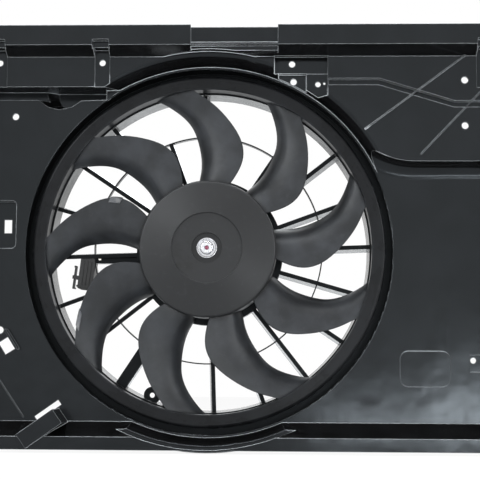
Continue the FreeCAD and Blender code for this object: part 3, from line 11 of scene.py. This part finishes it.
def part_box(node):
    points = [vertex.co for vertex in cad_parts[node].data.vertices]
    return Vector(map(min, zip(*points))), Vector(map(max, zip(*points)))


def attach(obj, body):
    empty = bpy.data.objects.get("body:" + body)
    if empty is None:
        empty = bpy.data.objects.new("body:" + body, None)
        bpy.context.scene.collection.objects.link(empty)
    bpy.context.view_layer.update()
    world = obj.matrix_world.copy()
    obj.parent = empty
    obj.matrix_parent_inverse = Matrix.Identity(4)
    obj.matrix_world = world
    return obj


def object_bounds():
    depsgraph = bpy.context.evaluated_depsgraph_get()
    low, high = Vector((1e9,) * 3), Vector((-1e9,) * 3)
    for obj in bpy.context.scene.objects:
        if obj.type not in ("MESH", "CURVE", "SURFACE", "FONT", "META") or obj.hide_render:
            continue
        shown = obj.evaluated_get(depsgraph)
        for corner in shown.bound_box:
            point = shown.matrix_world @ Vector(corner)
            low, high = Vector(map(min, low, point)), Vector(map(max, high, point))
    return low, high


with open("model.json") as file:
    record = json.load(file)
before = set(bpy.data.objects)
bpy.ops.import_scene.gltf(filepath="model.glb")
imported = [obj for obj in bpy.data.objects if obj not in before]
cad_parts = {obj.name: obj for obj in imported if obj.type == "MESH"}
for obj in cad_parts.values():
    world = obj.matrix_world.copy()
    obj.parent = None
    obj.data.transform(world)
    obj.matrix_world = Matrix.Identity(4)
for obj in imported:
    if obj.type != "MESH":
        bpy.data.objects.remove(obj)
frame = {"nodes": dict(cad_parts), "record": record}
cad_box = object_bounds()
MM = 0.001
TARGET = Vector((0, 0.04, 0))

# The sealing paint: how far below the top of the screw its middle lies, and half its size, in millimetres.
PAINT_DEPTH = 2.2
PAINT_SPREAD = (2.3, 0.9, 2.3)


class Field:
    """A socket that takes part in sums. Each sum adds the Math node that it needs."""

    def __init__(self, finish, socket):
        self.finish = finish
        self.socket = socket

    def math(self, operation, *values):
        """One Math node on the values, in the order of its sockets."""
        return self.finish.node("Math", {"operation": operation}, dict(enumerate(values)))

    def __add__(self, other):
        return self.math("ADD", self, other)

    def __sub__(self, other):
        return self.math("SUBTRACT", self, other)

    def __rsub__(self, other):
        return self.math("SUBTRACT", other, self)

    def __mul__(self, other):
        return self.math("MULTIPLY", self, other)

    def __truediv__(self, other):
        return self.math("DIVIDE", self, other)

    __radd__ = __add__
    __rmul__ = __mul__

    def step(self, low, high):
        """0 below low, 1 above high, smooth between; high may be the lower number."""
        rising = {"From Min": low, "From Max": high}
        return self.finish.node("MapRange", {"interpolation_type": "SMOOTHSTEP"}, {"Value": self, **rising})


class Finish:
    """One material while it is being made."""

    def __init__(self, name):
        self.material = bpy.data.materials.new(name)
        self.material.use_nodes = True
        self.tree = self.material.node_tree
        self.tree.nodes.clear()

    def node(self, kind, settings=(), sockets=(), output=0):
        """Adds one node: its settings first, then the numbers or links of its sockets."""
        made = self.tree.nodes.new("ShaderNode" + kind)
        for name, value in dict(settings).items():
            setattr(made, name, value)
        for key, value in dict(sockets).items():
            if isinstance(value, Field):
                self.tree.links.new(value.socket, made.inputs[key])
            else:
                made.inputs[key].default_value = value
        return Field(self, made.outputs[output])

    def place(self, offset=(0, 0, 0), stretch=(1, 1, 1)):
        """The point on the piece in millimetres, moved and stretched."""
        point = self.node("TexCoord", output="Object")
        moved = self.node("VectorMath", {"operation": "SUBTRACT"}, {0: point, 1: [c * MM for c in offset]})
        return self.node("VectorMath", {"operation": "MULTIPLY"}, {0: moved, 1: [s / MM for s in stretch]})

    def along(self, name, vector):
        """One coordinate, X, Y or Z, of a point or direction."""
        return self.node("SeparateXYZ", sockets={0: vector}, output=name)

    def off_axis(self, centre):
        """Distance from a line along Y through centre, in millimetres."""
        return self.node("VectorMath", {"operation": "LENGTH"},
                         {0: self.place(centre, (1, 0, 1))}, output="Value")

    def noise(self, size, detail=3.0, rough=0.55, stretch=(1, 1, 1)):
        """Cloudy values around 0.5 whose lumps are about size millimetres."""
        return self.node("TexNoise", sockets={"Vector": self.place(stretch=stretch), "Scale": 1.0 / size,
                                              "Detail": detail, "Roughness": rough})

    def rings(self, centre, rate, detail):
        """Uneven rings round a line along Y through centre, rate of them to a millimetre."""
        sockets = {"W": self.off_axis(centre) * rate, "Scale": 1.0, "Detail": detail}
        return self.node("TexNoise", {"noise_dimensions": "1D"}, sockets)

    def specks(self, size, share):
        """1 in small scattered dots, size millimetres apart, 0 elsewhere."""
        cell = self.node("TexVoronoi", {"feature": "F1"},
                         {"Vector": self.place(), "Scale": 1.0 / size, "Randomness": 1.0})
        return cell.step(share, share * 0.5)

    def eased(self, radius):
        """The surface direction with every edge rounded by radius millimetres."""
        return self.node("Bevel", {"samples": 6}, {"Radius": radius * MM})

    def sharpness(self, radius):
        """1 on edges that the rounding bends far, 0 on open faces."""
        pair = {0: self.eased(radius), 1: self.node("NewGeometry", output="Normal")}
        return self.node("VectorMath", {"operation": "DOT_PRODUCT"}, pair, "Value").step(0.985, 0.9)

    def mix(self, factor, first, second):
        """A colour between two colours."""
        colours = {"Factor": factor, 6: first, 7: second}
        return self.node("Mix", {"data_type": "RGBA"}, colours, output=2)

    def bump(self, height, depth, normal=None):
        """A surface relief, depth millimetres deep where height is 1."""
        sockets = {"Height": height, "Distance": depth * MM, "Strength": 1.0}
        if normal:
            sockets["Normal"] = normal
        return self.node("Bump", sockets=sockets)

    def surface(self, **values):
        """One shader. Words are its sockets with _ for a space."""
        sockets = {name.replace("_", " "): value for name, value in values.items()}
        return self.node("BsdfPrincipled", sockets=sockets)

    def shader(self, **values):
        """The whole material from one shader."""
        self.node_output(self.surface(**values))
        return self.material

    def blend(self, factor, first, second):
        """The whole material from two shaders, the second where factor is 1."""
        self.node_output(self.node("MixShader", sockets={0: factor, 1: first, 2: second}))
        return self.material

    def node_output(self, surface):
        """Makes a shader the surface of the material."""
        out = self.tree.nodes.new("ShaderNodeOutputMaterial")
        self.tree.links.new(surface.socket, out.inputs["Surface"])


def grey(value, tint=(1.0, 1.0, 1.0)):
    """A grey of the given lightness, tinted a little."""
    return tuple(value * t for t in tint) + (1.0,)


def middle(node):
    """The middle of a node's box, in millimetres."""
    low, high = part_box(node)
    return (low + high) / 2 / MM


FAN_CENTRE = tuple(middle("motor_shaft"))
COLD = grey(1.0, (0.86, 0.94, 1.0))


def by_axis(across, up):
    """A line along Y, that many millimetres beside and above the axis of the fan."""
    return FAN_CENTRE[0] + across, 0, FAN_CENTRE[2] + up


def gloss_plastic(name, shade, rough, wave):
    """Moulded black plastic: cloudy gloss, wavy walls, fine pores, a little dust, and a painted highlight on
    edges that face up or down and round the recess mouth.
    """
    f = Finish(name)
    cloud = f.noise(38.0, 4.0)
    flow = f.noise(9.0, 3.0, stretch=(1, 1, 0.22))
    pores = f.specks(2.6, 0.16)
    dust = f.specks(4.2, 0.045)
    radius = f.off_axis(FAN_CENTRE)
    upper = f.along("Z", f.place()).step(-60.0, 20.0)
    recess_mouth = radius.step(199.0, 203.0) * radius.step(224.0, 218.0) * upper
    edge_radius = 1.2
    slope = f.along("Z", f.eased(edge_radius))
    looks_up = slope.step(0.4, 0.68)
    looks_down = slope.step(-0.45, -0.68)
    # Painted highlight: rounded edges that face up or down, and those round the recess mouth in the upper
    # half, are coloured pale as if they caught the lamps.
    painted_edge_highlight = 0.1 + 0.85 * looks_up + 0.45 * looks_down + 0.5 * recess_mouth
    tone = f.mix(cloud.step(0.35, 0.7), grey(shade * 0.7), grey(shade * 1.3, (1, 1.02, 1.1)))
    tone = f.mix(dust * 0.25, tone, grey(0.12))
    # The painted edge highlight goes into the base colour here, where the rounding bends.
    colour = f.mix(f.sharpness(edge_radius) * painted_edge_highlight, tone, grey(0.8, (0.97, 1, 1.03)))
    gloss = rough + 0.1 * (cloud - 0.5) + 0.06 * flow.step(0.45, 0.8) + 0.2 * dust + 0.08 * pores
    walls = f.bump(f.noise(46.0, 2.0), wave, f.eased(0.9))
    skin = f.bump(f.noise(0.9, 2.0) + 0.6 * pores, 0.01, walls)
    return f.shader(Base_Color=colour, Roughness=gloss, Specular_IOR_Level=0.2, Specular_Tint=COLD,
                    Normal=skin)


def guard_plastic(name):
    """Black plastic of the guard: satin across the air; smooth on the walls along it, whose pale colour is
    painted light.
    """
    f = Finish(name)
    cloud = f.noise(18.0, 4.0)
    facing = f.along("Y", f.node("NewGeometry", output="Normal"))
    # Painted light: walls that run along the air are picked out by the direction of their surface.
    painted_lit_walls = facing.math("ABSOLUTE", facing).step(0.5, 0.2)
    skin = f.bump(f.noise(0.8, 2.0), 0.01, f.bump(f.noise(30.0, 2.0), 0.12, f.eased(0.4)))
    face_tone = f.mix(cloud.step(0.35, 0.7), grey(0.002), grey(0.005, (1, 1.02, 1.08)))
    # Painted light: the pale tone of those walls stands in for light falling on them.
    painted_light_wall_tone = f.mix(cloud.step(0.35, 0.7), grey(0.1), grey(0.18, (1, 1.0, 0.98)))
    face = f.surface(Base_Color=face_tone, Roughness=0.3 + 0.12 * cloud, Specular_IOR_Level=0.1,
                     Specular_Tint=COLD, Normal=skin)
    wall = f.surface(Base_Color=painted_light_wall_tone, Roughness=0.16 + 0.12 * cloud, Specular_IOR_Level=0.6,
                     Normal=skin)
    return f.blend(painted_lit_walls, face, wall)


def fan_plastic(name):
    """Satin charcoal plastic of the fan: flow streaks, ejector marks and a darker, glossier patch left of
    and below the hub's centre; painted shade makes the hub and the ring darker than the blades.
    """
    f = Finish(name)
    cloud = f.noise(26.0, 4.0)
    streak = f.noise(7.0, 4.0, 0.6, (1, 0.3, 1))
    rings = f.rings(FAN_CENTRE, 0.16, 3.0)
    dust = f.specks(5.0, 0.05)
    mark_circle = 56.0
    mark_turns = [radians(50 + 120 * turn) for turn in range(3)]
    mark_places = [by_axis(mark_circle * cos(turn), mark_circle * sin(turn)) for turn in mark_turns]
    marks = sum(f.off_axis(place).step(3.4, 3.0) for place in mark_places)
    # A darker, glossier patch left of and below the hub's centre.
    hub_dark_patch = f.off_axis(by_axis(-22, -8)).step(21.0, 13.0) * f.noise(6.0, 4.0).step(0.44, 0.56)

    radius = f.off_axis(FAN_CENTRE)
    hub = radius.step(80.0, 74.0)
    ring_painted_shade = radius.step(176.0, 183.0)
    ring_gloss = radius.step(176.0, 182.0)
    ring_depth = radius.step(177.0, 181.5)

    tone = f.mix(cloud.step(0.3, 0.75), grey(0.013, (0.97, 1.03, 1.12)), grey(0.026, (0.96, 1.03, 1.16)))
    # Painted shade: the hub gets a darker tone than the blades.
    tone = f.mix(hub, tone, grey(0.012, (1, 1.02, 1.07)))
    tone = f.mix(hub_dark_patch * 0.8, tone, grey(0.008))
    tone = f.mix(streak.step(0.55, 0.8) * 0.35, tone, grey(0.034, (1, 1.04, 1.12)))
    # Painted shade: the ring gets a much darker tone than the blades. Its shader below also has a lower
    # specular level.
    tone = f.mix(ring_painted_shade * 0.75, tone, grey(0.004, (1, 1.02, 1.1)))
    tone = f.mix(dust * 0.35, tone, grey(0.16))
    gloss = 0.42 + 0.14 * (cloud - 0.5) + 0.06 * (rings - 0.5) + 0.15 * dust - 0.05 * marks
    gloss = gloss - 0.14 * ring_gloss - 0.1 * hub_dark_patch
    broad = f.bump(f.noise(30.0, 2.0), 0.18, f.eased(0.6))
    skin = f.bump(f.noise(0.7, 3.0) - 2.0 * marks, 0.02, broad)
    blades = f.surface(Base_Color=tone, Roughness=gloss, Specular_IOR_Level=0.25, Normal=skin)
    ring = f.surface(Base_Color=tone, Roughness=gloss, Specular_IOR_Level=0.1, Normal=skin)
    return f.blend(ring_depth, blades, ring)


def matte_plastic(name, shade, tint=(1, 1, 1)):
    """Spark-textured plastic of small mouldings."""
    f = Finish(name)
    cloud = f.noise(5.0, 3.0)
    tone = f.mix(cloud.step(0.3, 0.7), grey(shade * 0.8, tint), grey(shade * 1.25, tint))
    skin = f.bump(f.noise(0.35, 2.0), 0.03, f.eased(0.3))
    return f.shader(Base_Color=tone, Roughness=0.46 + 0.2 * (cloud - 0.5), Normal=skin)


def rubber(name):
    """Black rubber with a bloomed, powdery skin."""
    f = Finish(name)
    bloom = f.noise(3.0, 4.0, 0.7)
    tone = f.mix(bloom.step(0.45, 0.75), grey(0.018), grey(0.055))
    return f.shader(Base_Color=tone, Roughness=0.62 + 0.25 * (bloom - 0.4),
                    Normal=f.bump(f.noise(0.4), 0.04))


def coated_steel(name, shade, rough):
    """Black coated pressed steel: orange peel in the coat, thin rubs on high spots."""
    f = Finish(name)
    cloud = f.noise(14.0, 4.0)
    rub = f.noise(2.2, 5.0, 0.7).step(0.66, 0.74)
    tone = f.mix(rub * 0.5, grey(shade, (1, 1, 1.04)), grey(0.22))
    peel = f.bump(f.noise(1.6, 1.0), 0.02, f.eased(0.6))
    return f.shader(Base_Color=tone, Roughness=rough + 0.14 * (cloud - 0.5) + 0.1 * rub,
                    Metallic=0.55 * rub, Normal=peel)


def plated_steel(name, low, high, rough, centre=None):
    """Zinc or nickel plate over steel. With a centre, tool marks run round it."""
    f = Finish(name)
    cloud = f.noise(4.0, 4.0)
    stain = f.noise(1.3, 4.0, 0.7).step(0.6, 0.8)
    tone = f.mix(cloud.step(0.3, 0.7), low, high)
    tone = f.mix(stain * 0.35, tone, [c * 0.55 for c in low[:3]] + [1.0])
    marks = f.rings(centre, 3.0, 2.0) if centre else f.noise(0.5, 2.0)
    return f.shader(Base_Color=tone, Roughness=rough + 0.12 * (cloud - 0.5) + 0.15 * stain, Metallic=1.0,
                    Normal=f.bump(marks, 0.012))


def ferrite(name, shade):
    """Ground, sintered ferrite with chipped grain."""
    f = Finish(name)
    grain = f.noise(0.8, 5.0, 0.7)
    tone = f.mix(grain.step(0.4, 0.7), grey(shade), grey(shade * 1.9, (1, 0.97, 0.94)))
    return f.shader(Base_Color=tone, Roughness=0.5 + 0.2 * grain, Metallic=0.35, Normal=f.bump(grain, 0.05))


def stacked_steel(name):
    """Thin steel sheets stacked along the shaft, with a varnish film."""
    f = Finish(name)
    sheet = 0.35
    depth = f.along("Y", f.place())
    sheets = depth.math("PINGPONG", depth, sheet) / sheet
    varnish = f.noise(6.0, 3.0).step(0.4, 0.7)
    tone = f.mix(varnish * 0.6, grey(0.33, (1, 1, 1.03)), (0.16, 0.11, 0.05, 1))
    return f.shader(Base_Color=tone, Roughness=0.34 + 0.15 * varnish, Metallic=0.85,
                    Normal=f.bump(sheets, 0.06))


def wound_copper(name):
    """Enamelled copper wire, laid turn beside turn, with painted shade in the grooves between turns."""
    f = Finish(name)
    turns = f.node("TexWave", {"wave_type": "BANDS", "bands_direction": "DIAGONAL"},
                   {"Vector": f.place(), "Scale": 0.55, "Distortion": 1.2, "Detail": 1.0})
    age = f.noise(5.0, 3.0)
    tone = f.mix(age.step(0.35, 0.7), (0.52, 0.2, 0.075, 1), (0.7, 0.33, 0.14, 1))
    # Painted shade: the grooves between the wire turns are darkened.
    tone = f.mix((1 - turns) * 0.5, tone, (0.12, 0.04, 0.02, 1))
    return f.shader(Base_Color=tone, Roughness=0.28 + 0.1 * age, Metallic=0.9, Coat_Weight=0.5,
                    Normal=f.bump(turns, 0.15))


def phenolic_card(name):
    """Brown pressed card with fibres."""
    f = Finish(name)
    fibre = f.noise(1.2, 5.0, 0.75, (1, 1, 0.25))
    tone = f.mix(fibre.step(0.35, 0.7), (0.2, 0.11, 0.05, 1), (0.33, 0.2, 0.1, 1))
    return f.shader(Base_Color=tone, Roughness=0.5 + 0.15 * fibre, Normal=f.bump(fibre, 0.03))


def carbon(name):
    """Pressed brush carbon with bright graphite flakes."""
    f = Finish(name)
    flake = f.noise(0.45, 4.0, 0.7).step(0.58, 0.68)
    tone = f.mix(flake, grey(0.03), grey(0.16, (1, 1, 1.05)))
    return f.shader(Base_Color=tone, Roughness=0.6 - 0.25 * flake, Metallic=0.4 * flake)


def bright_steel(name, low, high, rough, centre):
    """Polished plate: fine rings round the centre, a few handling marks."""
    f = Finish(name)
    cloud = f.noise(2.4, 4.0)
    nicks = f.noise(0.7, 5.0, 0.75).step(0.68, 0.74)
    tone = f.mix(cloud.step(0.3, 0.7), low, high)
    rings = f.rings(centre, 5.0, 1.0)
    return f.shader(Base_Color=tone, Roughness=rough + 0.08 * (cloud - 0.5) + 0.2 * nicks, Metallic=1.0,
                    Normal=f.bump(rings, 0.008, f.eased(0.35)))


def finishes():
    """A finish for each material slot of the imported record. Each pair is the darkest and lightest tone."""
    zinc = (grey(0.52, (1, 1, 1.03)), grey(0.68, (1, 1, 1.0)))
    steel = (grey(0.42, (1, 1, 1.02)), grey(0.6, (1, 1, 1.03)))
    brass = ((0.55, 0.42, 0.2, 1), (0.7, 0.56, 0.3, 1))
    bronze = ((0.42, 0.27, 0.12, 1), (0.6, 0.42, 0.22, 1))
    copper = ((0.6, 0.3, 0.17, 1), (0.75, 0.43, 0.27, 1))
    spring = (grey(0.3, (1, 1, 1.1)), grey(0.45, (1, 1, 1.08)))
    washer = (grey(0.3, (1, 1, 1.06)), grey(0.42))
    screw = (grey(0.4, (1, 1, 1.08)), grey(0.55))
    clip = (grey(0.1, (1, 1.02, 1.1)), grey(0.16))
    balls = (grey(0.6), grey(0.78))
    fan = FAN_CENTRE
    return {
        "shroud_plastic": gloss_plastic("shroud_plastic", 0.003, 0.15, 0.6),
        "guard_plastic": guard_plastic("guard_plastic"),
        "fan_plastic": fan_plastic("fan_plastic"),
        "connector_plastic": matte_plastic("connector_plastic", 0.005),
        "latch_plastic": matte_plastic("latch_plastic", 0.008, (1, 1, 1.05)),
        "card_plastic": phenolic_card("card_plastic"),
        "zinc_steel": plated_steel("zinc_steel", *zinc, 0.3),
        "insert_steel": plated_steel("insert_steel", *steel, 0.32, fan),
        "bright_washer": bright_steel("bright_washer", *washer, 0.2, fan),
        "bright_screw": bright_steel("bright_screw", *screw, 0.14, fan),
        "clip_steel": plated_steel("clip_steel", *clip, 0.3),
        "shaft_steel": plated_steel("shaft_steel", *steel, 0.2, fan),
        "bearing_steel": plated_steel("bearing_steel", *steel, 0.16, fan),
        "ball_steel": plated_steel("ball_steel", *balls, 0.1),
        "bronze": plated_steel("bronze", *bronze, 0.42, fan),
        "motor_steel": coated_steel("motor_steel", 0.018, 0.32),
        "cap_steel": coated_steel("cap_steel", 0.022, 0.36),
        "spring_steel": plated_steel("spring_steel", *spring, 0.26),
        "ferrite": ferrite("ferrite", 0.045),
        "choke_ferrite": wound_copper("choke_winding"),
        "core_steel": stacked_steel("core_steel"),
        "winding_copper": wound_copper("winding_copper"),
        "commutator_copper": plated_steel("commutator_copper", *copper, 0.24, fan),
        "carbon": carbon("carbon"),
        "screw_steel": plated_steel("screw_steel", *zinc, 0.3),
        "rubber_pads": rubber("rubber_pads"),
        "tinned_brass": plated_steel("tinned_brass", *brass, 0.28),
    }


def dress_nodes():
    """Each node takes the finish of its slot in the record, and the outlet barrel that of the guard."""
    finish = finishes()
    for row in frame["record"]["subparts"]:
        mesh = frame["nodes"][row["node"]].data
        slot = "guard_plastic" if row["node"] == "outlet_barrel" else row["material_slot"]
        mesh.materials.clear()
        mesh.materials.append(finish[slot])


def lump(name, place, spread, material, body):
    """A small rounded lump, spread millimetres to each side of its place, that rides on body."""
    mesh = bpy.data.meshes.new(name)
    shape = bmesh.new()
    bmesh.ops.create_uvsphere(shape, u_segments=24, v_segments=12, radius=1.0)
    bmesh.ops.scale(shape, vec=[s * MM for s in spread], verts=shape.verts)
    bmesh.ops.translate(shape, vec=[c * MM for c in place], verts=shape.verts)
    shape.to_mesh(mesh)
    shape.free()
    mesh.shade_smooth()
    mesh.materials.append(material)
    made = bpy.data.objects.new(name, mesh)
    bpy.context.scene.collection.objects.link(made)
    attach(made, body)


def thread_lock(name):
    """Dried red sealing paint, wrinkled and darker where it is thin."""
    f = Finish(name)
    thin = f.noise(0.8, 3.0)
    tone = f.mix(thin.step(0.35, 0.7), (0.16, 0.02, 0.05, 1), (0.42, 0.08, 0.15, 1))
    return f.shader(Base_Color=tone, Roughness=0.3 + 0.2 * thin, Coat_Weight=0.4,
                    Normal=f.bump(thin, 0.15))


def small_pieces():
    """Sealing paint in the socket of the centre screw."""
    screw_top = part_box("hub_screw")[0].y / MM
    place = middle("hub_screw")
    place.y = screw_top + PAINT_DEPTH
    lump("socket_paint", place, PAINT_SPREAD, thread_lock("sealing_paint"), "fan")


def lamp(name, width, watts, place, aim=TARGET, height=None):
    """A soft box that faces aim, square where it has no height of its own."""
    light = bpy.data.lights.new(name, "AREA")
    light.energy = watts
    light.color = (0.93, 0.97, 1.0)
    light.size = width
    if height:
        light.shape = "RECTANGLE"
        light.size_y = height
    holder = bpy.data.objects.new(name, light)
    bpy.context.scene.collection.objects.link(holder)
    place = Vector(place)
    holder.location = place
    holder.rotation_euler = (place - Vector(aim)).to_track_quat("Z", "Y").to_euler()


def surroundings():
    """White where the camera or a reflection sees them, half as strong where they only light the fan."""
    world = bpy.data.worlds.new("surroundings")
    bpy.context.scene.world = world
    world.use_nodes = True
    nodes, links = world.node_tree.nodes, world.node_tree.links
    nodes.clear()
    path = nodes.new("ShaderNodeLightPath")
    seen = path.outputs["Is Camera Ray"]
    for ray in ("Is Glossy Ray", "Is Transmission Ray"):
        either = nodes.new("ShaderNodeMath")
        either.operation = "MAXIMUM"
        links.new(seen, either.inputs[0])
        links.new(path.outputs[ray], either.inputs[1])
        seen = either.outputs[0]
    as_light, as_seen = 0.5, 1.0
    strength = nodes.new("ShaderNodeMix")
    strength.inputs["A"].default_value = as_light
    strength.inputs["B"].default_value = as_seen
    links.new(seen, strength.inputs["Factor"])
    back = nodes.new("ShaderNodeBackground")
    back.inputs["Color"].default_value = grey(1.0)
    links.new(strength.outputs["Result"], back.inputs["Strength"])
    out = nodes.new("ShaderNodeOutputWorld")
    links.new(back.outputs[0], out.inputs[0])


def soft_boxes():
    """Large boxes for the even light, thin strips for the streaks along edges, two low ones for the pan."""
    lamp("front_box", 2.0, 9, (0.0, -1.9, 0.2), height=1.4)
    lamp("key_left", 1.2, 16, (-1.3, -1.0, 1.3), height=0.9)
    lamp("right_box", 0.8, 7, (1.6, -0.9, 0.3), height=1.2)
    lamp("top_strip", 2.4, 26, (0.0, -0.3, 1.5), height=0.08)
    lamp("left_strip", 0.08, 14, (-1.5, -0.7, 0.5), height=1.6)
    lamp("right_strip", 0.08, 10, (1.5, -0.6, 0.1), height=1.4)
    lamp("low_right", 0.26, 3, (0.5, -1.5, -0.24), (0.2, 0.0, -0.2), height=0.16)
    lamp("bounce", 0.5, 2, (0.3, -0.6, -0.226), (-0.15, 0.03, 0.15), height=0.05)
    lamp("back_top", 1.2, 14, (0.2, 1.2, 0.9))


def floor():
    """The floor that the fan stands on: nearly white to the camera, with the shadow left in."""
    low = cad_box[0].z
    reach = 6.0
    corners = [(x * reach, y * reach, low) for x, y in ((-1, -1), (1, -1), (1, 1), (-1, 1))]
    mesh = bpy.data.meshes.new("floor")
    mesh.from_pydata(corners, [], [(0, 1, 2, 3)])
    ground = bpy.data.objects.new("floor", mesh)
    bpy.context.scene.collection.objects.link(ground)
    f = Finish("floor_white")
    paper = f.noise(120.0, 3.0)
    matt = f.node("BsdfDiffuse", sockets={"Color": f.mix(paper, grey(0.86), grey(0.9))})
    glow = f.node("Emission", sockets={"Color": grey(1.0), "Strength": 1.0})
    glow_share = f.node("LightPath", output="Is Camera Ray") * 0.9
    f.node_output(f.node("MixShader", sockets={0: glow_share, 1: matt, 2: glow}))
    mesh.materials.append(f.material)


def camera():
    """The photograph's viewpoint: 2.2 degrees from the right, 6 degrees from below, slightly tilted."""
    turn, lift, roll = radians(2.2), radians(-6), radians(0.35)
    distance = 1.5
    sensor_width = 36
    focal_length = 102.27
    back = Vector((sin(turn) * cos(lift), -cos(turn) * cos(lift), sin(lift)))
    right = Vector((0, 0, 1)).cross(back).normalized()
    up = back.cross(right)
    across = cos(roll) * right + sin(roll) * up
    upward = cos(roll) * up - sin(roll) * right
    lens = bpy.data.cameras.new("photo_view")
    lens.sensor_width = sensor_width
    lens.lens = focal_length
    lens.clip_start = 0.01
    holder = bpy.data.objects.new("photo_view", lens)
    bpy.context.scene.collection.objects.link(holder)
    pose = Matrix((across, upward, back)).transposed().to_4x4()
    pose.translation = TARGET + back * distance
    holder.matrix_world = pose
    bpy.context.scene.camera = holder
    bpy.context.scene.view_settings.view_transform = "Standard"


dress_nodes()
small_pieces()
floor()
surroundings()
soft_boxes()
camera()
